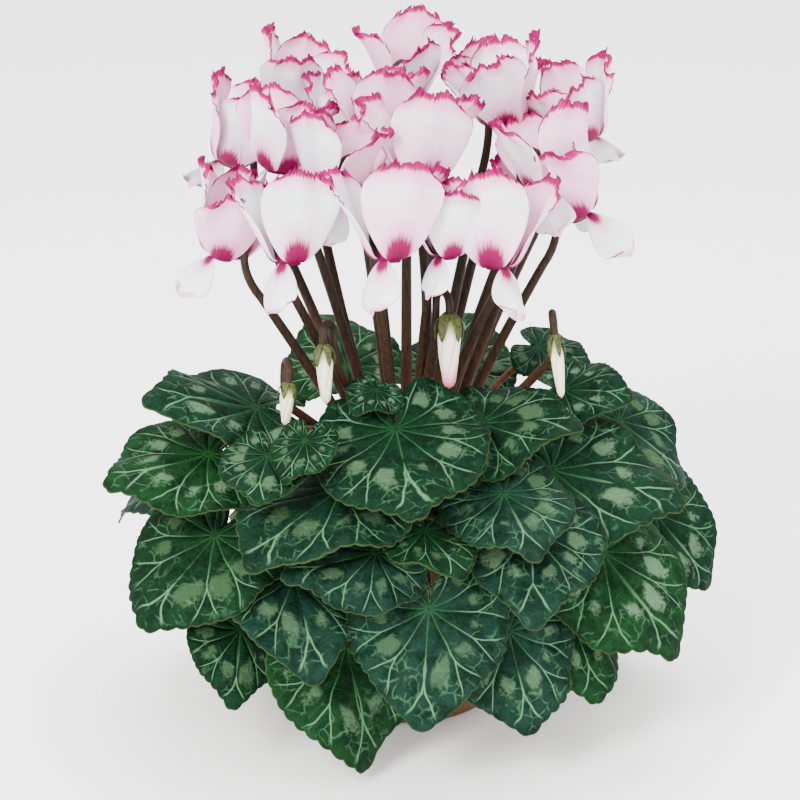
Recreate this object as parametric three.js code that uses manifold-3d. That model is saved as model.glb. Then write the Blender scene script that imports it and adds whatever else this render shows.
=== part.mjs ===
// Potted cyclamen: pot, soil, corm with its stalks and buds, leaf blades and fringed blooms.
// Millimetres, +Z up. The origin is the middle of the pot's underside and the front is -Y.

import * as THREE from 'three';
import { mergeVertices } from 'three/addons/utils/BufferGeometryUtils.js';
import Module from 'manifold-3d';

const wasm = await Module();
wasm.setup();

// Pot and soil
const POT_HEIGHT = 112;
const POT_BASE_RADIUS = 45;
const POT_MOUTH_RADIUS = 62;
const POT_WALL = 3;
const RIM_DEPTH = 20;
const RIM_STAND_OUT = 3;
const DRAIN_HOLES = 5;
const DRAIN_RADIUS = 4;
const DRAIN_CIRCLE = 27;
const DRAIN_SIDES = 6;
const POT_SIDES = 20;
const SOIL_TOP = 102;
const GAP = 0.3;
const SHORTEST_EDGE = 0.03;

// Corm, which stands half out of the soil
const CORM_RADIUS = 24;
const CORM_HEIGHT = 26;
const CORM_MIDDLE = 104;
const CORM_SIDES = 10;
const CROWN_HEIGHT = 114;
const FOOT_DEPTH = 2.5;

// Leaf stalks
const PETIOLE_RADIUS = 1.7;
const PETIOLE_SIDES = 3;
const PETIOLE_STEPS = 3;
const PETIOLE_FOOT = 19;
const PETIOLE_ARCH = 20;
const PETIOLE_BOW = 0.3;
const PETIOLE_END = 18;
const PETIOLE_SEAT = 0.35;

// Leaf blades
const BLADE_THICKNESS = 1;
const TOOTH_DEPTH = 0.02;
const SIDE_DROOP = 0.26;
const ARCH = 0.5;
const WAVE_HEIGHT = 0.05;
const MOST_LIFT = 24;

// The edge of a blade, as degrees from its tip and reach from its stalk, where the tip is at 1
const LEAF_EDGE = [
  [0, 1], [10, 0.9], [24, 0.81], [45, 0.745], [70, 0.69], [95, 0.65],
  [120, 0.6], [143, 0.53], [160, 0.41], [172, 0.22], [180, 0.09],
];

// Blades in the order in which they lie on each other: stalk end, tip, roll in degrees, teeth
const LEAVES = [
  [[-28, -93, 66], [-19, -108, 7], 0, 13],
  [[-78, -88, 71], [-82, -108, 40], -24, 11],
  [[77, -76, 77], [89, -94, 35], 0, 11],
  [[46, -94, 73], [56, -112, 27], 0, 11],
  [[0, 98, 86], [4, 122, 32], 0, 8],
  [[58, 82, 84], [70, 102, 32], 0, 8],
  [[-60, 80, 84], [-76, 98, 34], 0, 8],
  [[96, 30, 84], [120, 40, 36], 0, 8],
  [[-102, 30, 84], [-122, 38, 36], 0, 8],
  [[-79, -70, 95], [-101, -88, 76], -10, 10],
  [[-53, -86, 97], [-42, -124, 60], 0, 12],
  [[10, -100, 87], [6, -124, 36], 0, 14],
  [[123, -5, 97], [151, -8, 57], 45, 12],
  [[92, -66, 101], [126, -86, 53], 30, 14],
  [[-88, -74, 111], [-119, -94, 67], -34, 13],
  [[-14, -102, 117], [-56, -118, 108], -34, 12],
  [[58, -86, 123], [58, -126, 88], 6, 13],
  [[8, -104, 128], [26, -130, 115], 0, 10],
  [[-29, -82, 142], [-70, -118, 107], 8, 14],
  [[45, -86, 139], [58, -128, 121], 6, 11],
  [[26, 66, 146], [34, 110, 160], 0, 9],
  [[-30, 64, 148], [-42, 108, 162], 0, 9],
  [[76, 50, 138], [114, 76, 132], 0, 9],
  [[-76, 44, 140], [-116, 70, 138], 0, 9],
  [[-104, 0, 120], [-146, 8, 88], 0, 12],
  [[105, 2, 143], [138, 0, 111], 30, 12],
  [[69, -50, 137], [131, -62, 121], 24, 14],
  [[-93, -54, 137], [-140, -80, 127], -28, 12],
  [[66, 40, 168], [92, 32, 160], 20, 10],
  [[76, -10, 161], [110, -20, 161], 38, 11],
  [[35, -56, 163], [82, -64, 165], 22, 12],
  [[-72, -34, 160], [-124, -56, 171], -26, 12],
  [[-64, -80, 145], [-69, -110, 131], 6, 10],
  [[-4, -66, 157], [6, -126, 132], 0, 14],
  [[-44, -84, 160], [-52, -100, 143], 0, 10],
  [[-15, -48, 168], [-25, -66, 162], -20, 9],
];

// Blooms: middle of the mouth, azimuth that it faces from the front, nod, petal length, handedness
const BLOOMS = [
  // Lower tier
  [[-8, -75, 249], -5, 14, 50, 1],
  [[-54, -60, 243], -20, 14, 48, 1],
  [[42, -60, 241], 12, 14, 50, -1],
  [[-87, -26, 236], -70, 16, 46, -1],
  [[82, -14, 252], 80, 26, 52, 1],
  [[76, 34, 248], 120, 20, 44, -1],
  [[-6, 76, 246], 185, 18, 46, 1],
  [[-86, 24, 268], -95, 22, 46, 1],
  // Middle tier
  [[6, -32, 272], 0, 10, 50, 1],
  [[-32, -38, 268], -20, 10, 44, -1],
  [[66, -26, 264], 40, 14, 44, 1],
  [[18, -58, 246], 0, 4, 38, 1],
  [[-62, -20, 264], -60, 10, 44, 1],
  [[52, 12, 278], 60, 12, 46, -1],
  [[-34, 30, 272], -120, 10, 42, 1],
  // Upper tier
  [[-14, -4, 281], -10, 4, 42, 1],
  [[-60, 44, 280], -110, 14, 42, -1],
  [[0, 60, 284], 180, 8, 44, -1],
  [[44, 52, 284], 140, 10, 42, 1],
  [[86, 10, 284], 90, 18, 42, -1],
];

// Furled buds: middle, azimuth and nod as a bloom's, length, radius, handedness
const BUDS = [
  [[-56, -62, 174], -20, 12, 20, 3.4, 1],
  [[-38, -60, 188], 10, 12, 28, 4, -1],
  [[20, -50, 196], 0, 8, 36, 5.5, 1],
  [[71, -54, 190], 30, 14, 30, 3.2, -1],
];

// Petals of a bloom: azimuth from the side it faces, sweep above its mouth, length and width shares
const PETALS = [
  [20, 80, 1, 1],
  [92, 72, 0.95, 0.95],
  [158, 74, 0.92, 0.9],
  [268, 72, 0.95, 0.95],
  [326, -66, 0.55, 0.6],
];

// Cross rows of a petal, as share of its length and count of points
const PETAL_ROWS = [[0, 2], [0.4, 3], [1, 5]];
const HANGING_ROWS = [[0, 2], [1, 3]];
const PETAL_WIDTH = 0.62;
const PETAL_THICKNESS = 0.9;
const PETAL_ROOT = 4.7;
const ROOT_DEPTH = 1;
const PETAL_STEPS = 40;
const PETAL_CUP = 0.3;
const PETAL_TWIST = 26;
const PETAL_START = -30;
const PETAL_BEND = 0.07;
const PETAL_FLARE = 14;
const PETAL_RUFFLE = 0.05;
const FRINGE = 0.045;
const TUBE_LENGTH = 9;
const TUBE_RADIUS = 5.6;
const TUBE_SIDES = 5;
const TUBE_LIP = 0.8;
const TUBE_DIMPLE = 3;
const CALYX_RADIUS = 4;

const BUD_SIDES = 8;
const MOST_RISE = 12;
const LEAST_JOINT = 2;
const MOST_MET = 3;

// Flower stalks and the hooks at their ends
const SCAPE_RADIUS = 2.4;
const SCAPE_SIDES = 4;
const SCAPE_STEPS = 3;
const SCAPE_FOOT = 0.18;
const SCAPE_MIDDLE = 0.45;
const SCAPE_BOW = -0.08;
const SCAPE_SEAT = 2;
const HOOK_RADIUS = 1.7;
const HOOK_TURN = 5.5;
const HOOK_AZIMUTH = 213;
const HOOK_SIDES = 4;
const HOOK_STEPS = 5;
const HOOK_SEAT = TUBE_LENGTH + 2 * GAP;

function vec(place) {
  return new THREE.Vector3(...place);
}

function radians(degrees) {
  return degrees * Math.PI / 180;
}

// Solid from a closed geometry, turned right side out
function solid(geometry) {
  const bare = geometry.clone();
  bare.deleteAttribute('normal');
  bare.deleteAttribute('uv');
  const merged = mergeVertices(bare, 1e-4);
  const triVerts = new Uint32Array(merged.index.array);
  const made = new wasm.Manifold(new wasm.Mesh({
    numProp: 3, vertProperties: new Float32Array(merged.attributes.position.array), triVerts,
  }));
  if (made.volume() > 0) return made;
  const turned = triVerts.slice();
  for (let i = 0; i < turned.length; i += 3) {
    turned[i + 1] = triVerts[i + 2];
    turned[i + 2] = triVerts[i + 1];
  }
  return new wasm.Manifold(new wasm.Mesh({
    numProp: 3, vertProperties: new Float32Array(merged.attributes.position.array), triVerts: turned,
  }));
}

function join(solids) {
  return solids.reduce((whole, piece) => whole.add(piece)).simplify(SHORTEST_EDGE);
}

function geometryOf(made) {
  const mesh = made.getMesh();
  const geometry = new THREE.BufferGeometry();
  const places = new Float32Array(mesh.numVert * 3);
  for (let i = 0; i < mesh.numVert; i += 1) {
    for (let k = 0; k < 3; k += 1) places[3 * i + k] = mesh.vertProperties[mesh.numProp * i + k];
  }
  geometry.setAttribute('position', new THREE.BufferAttribute(places, 3));
  geometry.setIndex(new THREE.BufferAttribute(new Uint32Array(mesh.triVerts), 1));
  geometry.computeVertexNormals();
  return geometry;
}

function named(name, made, finish) {
  const mesh = new THREE.Mesh(geometryOf(made), new THREE.MeshStandardMaterial(finish));
  mesh.name = name;
  return mesh;
}

// Sheet of even thickness: upper and lower points, triangles and the ring of points round its edge
function sheet(upper, lower, triangles, ring) {
  const count = upper.length;
  const index = [];
  for (const [a, b, c] of triangles) {
    index.push(a, b, c, a + count, c + count, b + count);
  }
  ring.forEach((a, i) => {
    const b = ring[(i + 1) % ring.length];
    index.push(a, a + count, b + count, a, b + count, b);
  });
  const geometry = new THREE.BufferGeometry();
  const places = [...upper, ...lower].flatMap((point) => point.toArray());
  geometry.setAttribute('position', new THREE.Float32BufferAttribute(places, 3));
  geometry.setIndex(index);
  return geometry;
}

// Pot and soil

function turned(profile, sides) {
  const points = profile.map(([radius, height]) => new THREE.Vector2(radius, height));
  return new THREE.LatheGeometry(points, sides).rotateX(Math.PI / 2);
}

function potRadius(height) {
  const share = height / POT_HEIGHT;
  return POT_BASE_RADIUS + (POT_MOUTH_RADIUS + POT_WALL - POT_BASE_RADIUS) * share;
}

function pot() {
  const rimFoot = POT_HEIGHT - RIM_DEPTH;
  const rimRadius = potRadius(POT_HEIGHT) + RIM_STAND_OUT;
  const shell = solid(turned([
    [0, 0], [POT_BASE_RADIUS - 2, 0], [POT_BASE_RADIUS, 2],
    [potRadius(rimFoot), rimFoot], [rimRadius - 1, rimFoot],
    [rimRadius, rimFoot + 2], [rimRadius, POT_HEIGHT - 2], [rimRadius - 2, POT_HEIGHT],
    [POT_MOUTH_RADIUS + 1, POT_HEIGHT], [POT_MOUTH_RADIUS, POT_HEIGHT - 1],
    [POT_BASE_RADIUS - POT_WALL + 1, POT_WALL + 1], [0, POT_WALL + 1],
  ], POT_SIDES));
  const holes = [];
  for (let i = 0; i < DRAIN_HOLES; i += 1) {
    const turn = 2 * Math.PI * i / DRAIN_HOLES;
    const hole = new THREE.CylinderGeometry(DRAIN_RADIUS, DRAIN_RADIUS, 4 * POT_WALL, DRAIN_SIDES);
    hole.rotateX(Math.PI / 2);
    hole.translate(DRAIN_CIRCLE * Math.cos(turn), DRAIN_CIRCLE * Math.sin(turn), 0);
    holes.push(solid(hole));
  }
  return shell.subtract(join(holes));
}

function cormProfile(clearance) {
  const radius = CORM_RADIUS + clearance;
  const half = CORM_HEIGHT / 2 + clearance;
  const steps = 6;
  const points = [];
  for (let i = 0; i <= steps; i += 1) {
    const turn = Math.PI * i / steps - Math.PI / 2;
    points.push([i % steps ? radius * Math.cos(turn) : 0, CORM_MIDDLE + half * Math.sin(turn)]);
  }
  return points;
}

function soil() {
  const foot = POT_WALL + 1 + GAP;
  const footRadius = POT_BASE_RADIUS - POT_WALL + 1 - GAP;
  const slope = (POT_MOUTH_RADIUS - POT_BASE_RADIUS + POT_WALL - 1) / (POT_HEIGHT - POT_WALL - 2);
  const topRadius = footRadius + slope * (SOIL_TOP - foot) - GAP;
  const filling = solid(turned([
    [0, foot], [footRadius - 0.5, foot], [topRadius, SOIL_TOP - 3], [topRadius - 4, SOIL_TOP - 1],
    [topRadius * 0.6, SOIL_TOP + 1], [0, SOIL_TOP],
  ], POT_SIDES));
  return filling.subtract(solid(turned(cormProfile(GAP), CORM_SIDES)));
}

// Leaf blades

function edgeReach(angle) {
  const degrees = Math.abs(angle) * 180 / Math.PI;
  const after = Math.max(1, LEAF_EDGE.findIndex(([limit]) => limit >= degrees - 1e-9));
  const [fromAngle, fromReach] = LEAF_EDGE[after - 1];
  const [toAngle, toReach] = LEAF_EDGE[after];
  return fromReach + (toReach - fromReach) * (degrees - fromAngle) / (toAngle - fromAngle);
}

// Place and directions of a blade: along to its tip, across it, and out of its upper face
function bladeFrame([root, tip, roll]) {
  const along = vec(tip).sub(vec(root));
  const size = along.length();
  along.normalize();
  const level = new THREE.Vector3().crossVectors(along, new THREE.Vector3(0, 0, 1)).normalize();
  const raised = new THREE.Vector3().crossVectors(level, along);
  const turn = radians(roll);
  const across = level.clone().multiplyScalar(Math.cos(turn)).addScaledVector(raised, -Math.sin(turn));
  const out = raised.multiplyScalar(Math.cos(turn)).addScaledVector(level, Math.sin(turn));
  return { root: vec(root), along, across, out, size };
}

// Point of a blade at an angle from its tip and a share of the way from the stalk to the edge
function bladePoint(frame, phase, angle, share, tooth) {
  const reach = frame.size * edgeReach(angle) * share * (1 + tooth);
  const forward = reach * Math.cos(angle);
  const sideways = reach * Math.sin(angle);
  const u = forward / frame.size;
  const v = sideways / frame.size;
  const arch = u > 0 ? ARCH * u * u * (1 - u) : 0;
  const wave = WAVE_HEIGHT * share * share * Math.sin(5 * angle + phase);
  const height = frame.size * (arch - SIDE_DROOP * v * v + wave);
  return frame.root.clone()
    .addScaledVector(frame.along, forward)
    .addScaledVector(frame.across, sideways)
    .addScaledVector(frame.out, height);
}

function blade(frame, number, teeth) {
  const upper = [frame.root.clone()];
  for (let i = 0; i < teeth; i += 1) {
    upper.push(bladePoint(frame, number, signedTurn(i, teeth), 0.55, 0));
  }
  for (let i = 0; i < 2 * teeth; i += 1) {
    const tooth = i % 2 ? -TOOTH_DEPTH : TOOTH_DEPTH;
    upper.push(bladePoint(frame, number, signedTurn(i, 2 * teeth), 1, tooth));
  }
  const triangles = [];
  const inner = (i) => 1 + i % teeth;
  const outer = (i) => 1 + teeth + (i + 2 * teeth) % (2 * teeth);
  for (let i = 0; i < teeth; i += 1) {
    triangles.push([0, inner(i), inner(i + 1)]);
    triangles.push([inner(i), outer(2 * i), outer(2 * i + 1)]);
    triangles.push([inner(i), outer(2 * i + 1), inner(i + 1)]);
    triangles.push([inner(i + 1), outer(2 * i + 1), outer(2 * i + 2)]);
  }
  const lower = upper.map((point) => point.clone().addScaledVector(frame.out, -BLADE_THICKNESS));
  const ring = Array.from({ length: 2 * teeth }, (_, i) => outer(i));
  return solid(sheet(upper, lower, triangles, ring));
}

function signedTurn(step, steps) {
  const turn = 2 * Math.PI * step / steps;
  return turn > Math.PI ? turn - 2 * Math.PI : turn;
}

// Ways for a blade to settle: lifted by millimetres, with its tip or one side raised by degrees
const SETTLING = [];
for (let lift = 0; lift <= MOST_LIFT; lift += 1) {
  for (const pitch of [0, 4, -4, 8, -8, 12]) {
    for (const lean of [0, 5, -5, 10, -10]) {
      const effort = lift + 0.5 * Math.abs(pitch) + 0.4 * Math.abs(lean);
      SETTLING.push({ lift, pitch, lean, effort });
    }
  }
}
SETTLING.sort((one, other) => one.effort - other.effort);

function tilted(frame, { lift, pitch, lean }) {
  const [p, q] = [radians(pitch), radians(lean)];
  const along = frame.along.clone().multiplyScalar(Math.cos(p)).addScaledVector(frame.out, Math.sin(p));
  const raised = frame.out.clone().multiplyScalar(Math.cos(p)).addScaledVector(frame.along, -Math.sin(p));
  const across = frame.across.clone().multiplyScalar(Math.cos(q)).addScaledVector(raised, Math.sin(q));
  const out = raised.multiplyScalar(Math.cos(q)).addScaledVector(frame.across, -Math.sin(q));
  return { ...frame, along, across, out, root: frame.root.clone().addScaledVector(out, lift) };
}

// Lays a blade over those that lie there already, with the least effort that keeps it clear of them
function layBlade(leaf, number, laid) {
  const frame = bladeFrame(leaf);
  for (const way of SETTLING) {
    const trial = tilted(frame, way);
    const made = blade(trial, number, leaf[3]);
    if (laid.every((other) => isClear(made, other))) return { made, frame: trial };
  }
  throw new Error(`blade ${number + 1} finds no place`);
}

function isClear(one, other) {
  const [a, b] = [one.boundingBox(), other.boundingBox()];
  for (let k = 0; k < 3; k += 1) {
    if (a.min[k] > b.max[k] + GAP || b.min[k] > a.max[k] + GAP) return true;
  }
  return one.minGap(other, 2 * GAP) >= GAP;
}

// Blooms

// Place and directions of a bloom: up to its calyx, to the side that it faces, and across
function bloomFrame([mouth, facing, nod, size, hand]) {
  const [turn, tip] = [radians(facing), radians(nod)];
  const level = new THREE.Vector3(Math.sin(turn), -Math.cos(turn), 0);
  const up = new THREE.Vector3(0, 0, Math.cos(tip)).addScaledVector(level, -Math.sin(tip));
  const front = new THREE.Vector3(0, 0, Math.sin(tip)).addScaledVector(level, Math.cos(tip));
  const across = new THREE.Vector3().crossVectors(up, front).multiplyScalar(hand);
  return { mouth: vec(mouth), up, front, across, size };
}

function outward(frame, azimuth) {
  const turn = radians(azimuth);
  return frame.front.clone().multiplyScalar(Math.cos(turn)).addScaledVector(frame.across, Math.sin(turn));
}

// Middle line of a petal in its own plane: distance from the bloom's axis, height and slope at each step
function petalLine(sweep, length) {
  const line = [[PETAL_ROOT, 0, radians(PETAL_START)]];
  for (let i = 1; i <= PETAL_STEPS; i += 1) {
    const share = (i - 0.5) / PETAL_STEPS;
    const turnedUp = sweep + (PETAL_START - sweep) * Math.exp(-share / PETAL_BEND);
    const slope = radians(turnedUp - Math.sign(sweep) * PETAL_FLARE * share * share);
    const [reach, height] = line[i - 1];
    const step = length / PETAL_STEPS;
    line.push([reach + step * Math.cos(slope), height + step * Math.sin(slope), slope]);
  }
  return line;
}

function petalHalfWidth(share, width) {
  if (share < 0.75) return width * (0.07 + 0.43 * Math.sin(Math.PI / 2 * share / 0.75) ** 1.3);
  return width * 0.5 * (1 - 0.3 * ((share - 0.75) / 0.25) ** 2);
}

// Point of a petal and the direction out of its face, at a share along it and from -1 to 1 across it
function petalPoint(frame, petal, line, share, side, phase) {
  const [azimuth, sweep, , widthShare] = petal;
  const width = frame.size * PETAL_WIDTH * widthShare;
  const along = share * (1 - 0.14 * side * side * share);
  const step = Math.min(PETAL_STEPS, Math.round(along * PETAL_STEPS));
  const [reach, height, slope] = line[step];
  const out = outward(frame, azimuth);
  const level = outward(frame, azimuth + 90);
  const face = out.clone().multiplyScalar(Math.sin(slope)).addScaledVector(frame.up, -Math.cos(slope));
  const twist = radians(PETAL_TWIST * share * Math.sign(sweep));
  const across = level.clone().multiplyScalar(Math.cos(twist)).addScaledVector(face, Math.sin(twist));
  const normal = face.clone().multiplyScalar(Math.cos(twist)).addScaledVector(level, -Math.sin(twist));
  const half = petalHalfWidth(share, width);
  const ruffle = PETAL_RUFFLE * width * share ** 3 * Math.sin(7 * side + phase);
  const place = frame.mouth.clone()
    .addScaledVector(out, reach)
    .addScaledVector(frame.up, height)
    .addScaledVector(across, half * side)
    .addScaledVector(normal, ruffle - PETAL_CUP * half * side * side * Math.sign(sweep));
  return { place, normal };
}

function petalSolid(frame, petal, phase) {
  const line = petalLine(petal[1], frame.size * petal[2]);
  const upper = [];
  const lower = [];
  const rows = [];
  for (const [share, count] of petal[1] > 0 ? PETAL_ROWS : HANGING_ROWS) {
    const row = [];
    for (let i = 0; i < count; i += 1) {
      const side = 2 * i / (count - 1) - 1;
      const tooth = count === 5 && i % 2 ? -FRINGE : 0;
      const { place, normal } = petalPoint(frame, petal, line, share + tooth, side, phase);
      if (share === 0) place.addScaledVector(outward(frame, petal[0]), -ROOT_DEPTH);
      row.push(upper.length);
      upper.push(place);
      lower.push(place.clone().addScaledVector(normal, -PETAL_THICKNESS));
    }
    rows.push(row);
  }
  const triangles = rows.slice(1).flatMap((row, i) => strip(rows[i], row));
  const ring = [
    ...rows[0], ...rows.slice(1, -1).map((row) => row.at(-1)),
    ...rows.at(-1).slice().reverse(), ...rows.slice(1, -1).map((row) => row[0]).reverse(),
  ];
  return solid(sheet(upper, lower, triangles, ring));
}

// Triangles between two rows of any count of points
function strip(below, above) {
  const triangles = [];
  let [i, j] = [0, 0];
  while (i < below.length - 1 || j < above.length - 1) {
    const nextBelow = (i + 1) / (below.length - 1);
    const nextAbove = (j + 1) / (above.length - 1);
    if (j === above.length - 1 || (i < below.length - 1 && nextBelow <= nextAbove)) {
      triangles.push([below[i], below[i + 1], above[j]]);
      i += 1;
    } else {
      triangles.push([below[i], above[j + 1], above[j]]);
      j += 1;
    }
  }
  return triangles;
}

function bloom(frame, number) {
  const tube = turned([
    [0, TUBE_LENGTH], [CALYX_RADIUS, TUBE_LENGTH], [TUBE_RADIUS, -TUBE_LIP], [0, TUBE_DIMPLE],
  ], TUBE_SIDES);
  tube.applyMatrix4(new THREE.Matrix4().makeBasis(frame.front, new THREE.Vector3()
    .crossVectors(frame.up, frame.front), frame.up).setPosition(frame.mouth));
  const petals = PETALS.map((petal, i) => petalSolid(frame, petal, number + 2 * i));
  return join([solid(tube), ...petals]);
}

// Ways for a bloom to settle: lifted by millimetres and turned by degrees
const BLOOM_SETTLING = [];
for (let lift = -4; lift <= MOST_RISE; lift += 4) {
  for (const spin of [0, 12, -12, 24, -24, 36, -36]) {
    BLOOM_SETTLING.push({ lift, spin, effort: Math.abs(lift) + 0.25 * Math.abs(spin) });
  }
}
BLOOM_SETTLING.sort((one, other) => one.effort - other.effort);

function turnedBloom([mouth, facing, nod, size, hand], { lift, spin }) {
  const frame = bloomFrame([mouth, facing + spin, nod, size, hand]);
  frame.mouth.addScaledVector(frame.up, lift);
  return frame;
}

// Stalks

function tube(curve, radius, sides, steps) {
  const section = new THREE.Shape(Array.from({ length: sides }, (_, i) => new THREE.Vector2(
    radius * Math.cos(2 * Math.PI * i / sides), radius * Math.sin(2 * Math.PI * i / sides))));
  return solid(new THREE.ExtrudeGeometry(section, { steps, extrudePath: curve, bevelEnabled: false }));
}

// Foot of a stalk, sunk in the corm's crown towards the place that it serves
function foot(place, radius) {
  const level = new THREE.Vector3(place.x, place.y, 0).normalize();
  const crown = CORM_MIDDLE + CORM_HEIGHT / 2 * Math.sqrt(1 - (radius / CORM_RADIUS) ** 2);
  return level.multiplyScalar(radius).setZ(crown - FOOT_DEPTH);
}

// Ways for a stalk to run: bowed out or in, and swayed to either side, in shares of its reach
const ROUTES = [];
for (const sway of [0, 0.12, -0.12, 0.24, -0.24, 0.36, -0.36, 0.5, -0.5, 0.65, -0.65]) {
  for (const bow of [0, 0.12, -0.12, 0.24, -0.24, 0.36]) {
    for (const rise of [0, 14, -12, 28]) {
      ROUTES.push({ sway, bow, rise, effort: Math.abs(sway) + Math.abs(bow) + 0.01 * Math.abs(rise) });
    }
  }
}
ROUTES.sort((one, other) => one.effort - other.effort);

function petiole(frame, { sway, bow, rise }) {
  const steep = Math.sqrt(1 - frame.out.z ** 2);
  const arrival = frame.out.clone().addScaledVector(frame.along, 0.9 * steep).normalize();
  const slant = Math.sqrt(1 - arrival.dot(frame.out) ** 2);
  const seat = BLADE_THICKNESS + GAP + PETIOLE_SEAT + PETIOLE_RADIUS * slant;
  const end = frame.root.clone().addScaledVector(frame.out, -seat);
  const start = foot(end, PETIOLE_FOOT);
  const reach = Math.hypot(end.x, end.y);
  const level = new THREE.Vector3(end.x, end.y, 0).normalize();
  const side = new THREE.Vector3(-level.y, level.x, 0);
  const drop = end.z - CROWN_HEIGHT;
  const height = PETIOLE_ARCH + rise + (drop < 0 ? -0.9 * drop : 0.4 * drop);
  const bend = start.clone().addScaledVector(level, (PETIOLE_BOW + bow) * reach)
    .addScaledVector(side, sway * reach).setZ(CROWN_HEIGHT + height);
  const near = end.clone().addScaledVector(arrival, -PETIOLE_END)
    .addScaledVector(side, PETIOLE_BOW * sway * reach);
  const curve = new THREE.CubicBezierCurve3(start, bend, near, end);
  return tube(curve, PETIOLE_RADIUS, PETIOLE_SIDES, PETIOLE_STEPS);
}

// Hook over a calyx, from its foot beside the mouth round to its seat
function hookCurve(frame) {
  const seat = frame.mouth.clone().addScaledVector(frame.up, HOOK_SEAT);
  const beside = outward(frame, HOOK_AZIMUTH);
  const points = [];
  const place = (back, rise) => seat.clone().addScaledVector(beside, back).addScaledVector(frame.up, rise);
  points.push(place(2 * HOOK_TURN, -HOOK_SEAT - 3));
  for (const turn of [0, 45, 90, 135, 180]) {
    points.push(place(HOOK_TURN * (1 + Math.cos(radians(turn))), 4 + HOOK_TURN * Math.sin(radians(turn))));
  }
  points.push(seat);
  return new THREE.CatmullRomCurve3(points);
}

// Furled bud under its hook, from [middle], facing, nod, length, radius and hand
function budFrame([middle, facing, nod, length, , hand]) {
  const frame = bloomFrame([middle, facing, nod, length, hand]);
  frame.mouth.addScaledVector(frame.up, length / 2 - TUBE_LENGTH);
  return frame;
}

function bud(frame, [, , , length, radius]) {
  const rings = [[0, 0], [0.55, 0.04], [1, 0.3], [0.8, 0.6], [0.35, 0.88], [0, 1]];
  const top = TUBE_LENGTH + GAP;
  const profile = rings.map(([share, depth]) => [share * radius, top - depth * length]).reverse();
  const turn = new THREE.Matrix4().makeBasis(frame.front, frame.across, frame.up);
  if (turn.determinant() < 0) turn.makeBasis(frame.front, frame.across.clone().negate(), frame.up);
  return solid(turned(profile, BUD_SIDES).applyMatrix4(turn.setPosition(frame.mouth)));
}

function scape(top, rising, { sway, bow, rise }) {
  const reach = Math.hypot(top.x, top.y);
  const start = foot(top, SCAPE_FOOT * reach);
  const level = new THREE.Vector3(top.x, top.y, 0).normalize();
  const side = new THREE.Vector3(-level.y, level.x, 0);
  const middle = start.clone().lerp(top, SCAPE_MIDDLE + 0.01 * rise)
    .addScaledVector(level, (bow + SCAPE_BOW) * reach)
    .addScaledVector(side, sway * reach);
  const end = top.clone().addScaledVector(rising, SCAPE_SEAT);
  const curve = new THREE.QuadraticBezierCurve3(start, middle, end);
  return tube(curve, SCAPE_RADIUS, SCAPE_SIDES, SCAPE_STEPS);
}

// Whether a solid stands clear of the others; the one that it meets is tried first the next time
function standsClear(made, others) {
  const met = others.findIndex((other) => !isClear(made, other));
  if (met > 0) others.unshift(...others.splice(met, 1));
  return met < 0;
}

// First run of a stalk that stands clear of the obstacles, if there is one
function clearRoute(make, obstacles) {
  for (const route of ROUTES) {
    const made = make(route);
    if (standsClear(made, obstacles)) return made;
  }
  return null;
}

// Scape up to the foot of a hook
function scapeUnder(curve, obstacles) {
  const [top, rising] = [curve.getPoint(0), curve.getTangent(0)];
  return clearRoute((route) => scape(top, rising, route), obstacles);
}

// Bloom settled one way, with the bunches that it meets, if its hook and scape can stand clear
function bloomThere(row, number, way, most, blades, bunches, stalks) {
  const frame = turnedBloom(row, way);
  const made = bloom(frame, number);
  const met = bunches.filter((bunch) => !isClear(made, bunch.made));
  if (met.length > most || !standsClear(made, blades) || !standsClear(made, stalks)) return null;
  if (met.some((bunch) => made.intersect(bunch.made).volume() < LEAST_JOINT)) return null;
  const curve = hookCurve(frame);
  const hook = tube(curve, HOOK_RADIUS, HOOK_SIDES, HOOK_STEPS);
  const petals = [made, ...bunches.map((bunch) => bunch.made)];
  if (!standsClear(hook, petals) || !standsClear(hook, blades)) return null;
  const stalk = scapeUnder(curve, [...petals, ...blades]);
  return stalk ? { made, met, hook, stalk } : null;
}

// Adds a bloom to the bunches: on its own if it can be, or else fused to the fewest that it crosses
function layBloom(row, number, blades, bunches, stalks) {
  for (let most = 0; most <= MOST_MET; most += 1) {
    for (const way of BLOOM_SETTLING) {
      const found = bloomThere(row, number, way, most, blades, bunches, stalks);
      if (found) {
        stalks.push(found.hook, found.stalk);
        const [first, ...others] = found.met;
        if (first) first.made = join([found.made, ...found.met.map((bunch) => bunch.made)]);
        else bunches.push({ made: found.made });
        others.forEach((bunch) => bunches.splice(bunches.indexOf(bunch), 1));
        return;
      }
    }
  }
  throw new Error(`bloom ${number + 1} finds no place`);
}

function numbered(kind, number) {
  return `${kind}_${String(number + 1).padStart(2, '0')}`;
}

const LEAF_FINISH = { color: 0x2c5f43, roughness: 0.6, metalness: 0 };
const BLOOM_FINISH = { color: 0xf1e8ec, roughness: 0.55, metalness: 0 };
const BUD_FINISH = { color: 0xd9c9a8, roughness: 0.6, metalness: 0 };

const group = new THREE.Group();
const potSolid = pot();
const soilSolid = soil();
group.add(named('pot', potSolid, { color: 0x8f5238, roughness: 0.85, metalness: 0 }));
group.add(named('soil', soilSolid, { color: 0x2b1f18, roughness: 1, metalness: 0 }));

const blades = [];
const bladeFrames = [];
LEAVES.forEach((leaf, number) => {
  const { made, frame } = layBlade(leaf, number, blades);
  blades.push(made);
  bladeFrames.push(frame);
  group.add(named(numbered('leaf', number), made, LEAF_FINISH));
});

const bunches = [];
const stalks = [];
BLOOMS.forEach((row, number) => layBloom(row, number, blades, bunches, stalks));
bunches.forEach(({ made }, number) => group.add(named(numbered('bloom', number), made, BLOOM_FINISH)));

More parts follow.
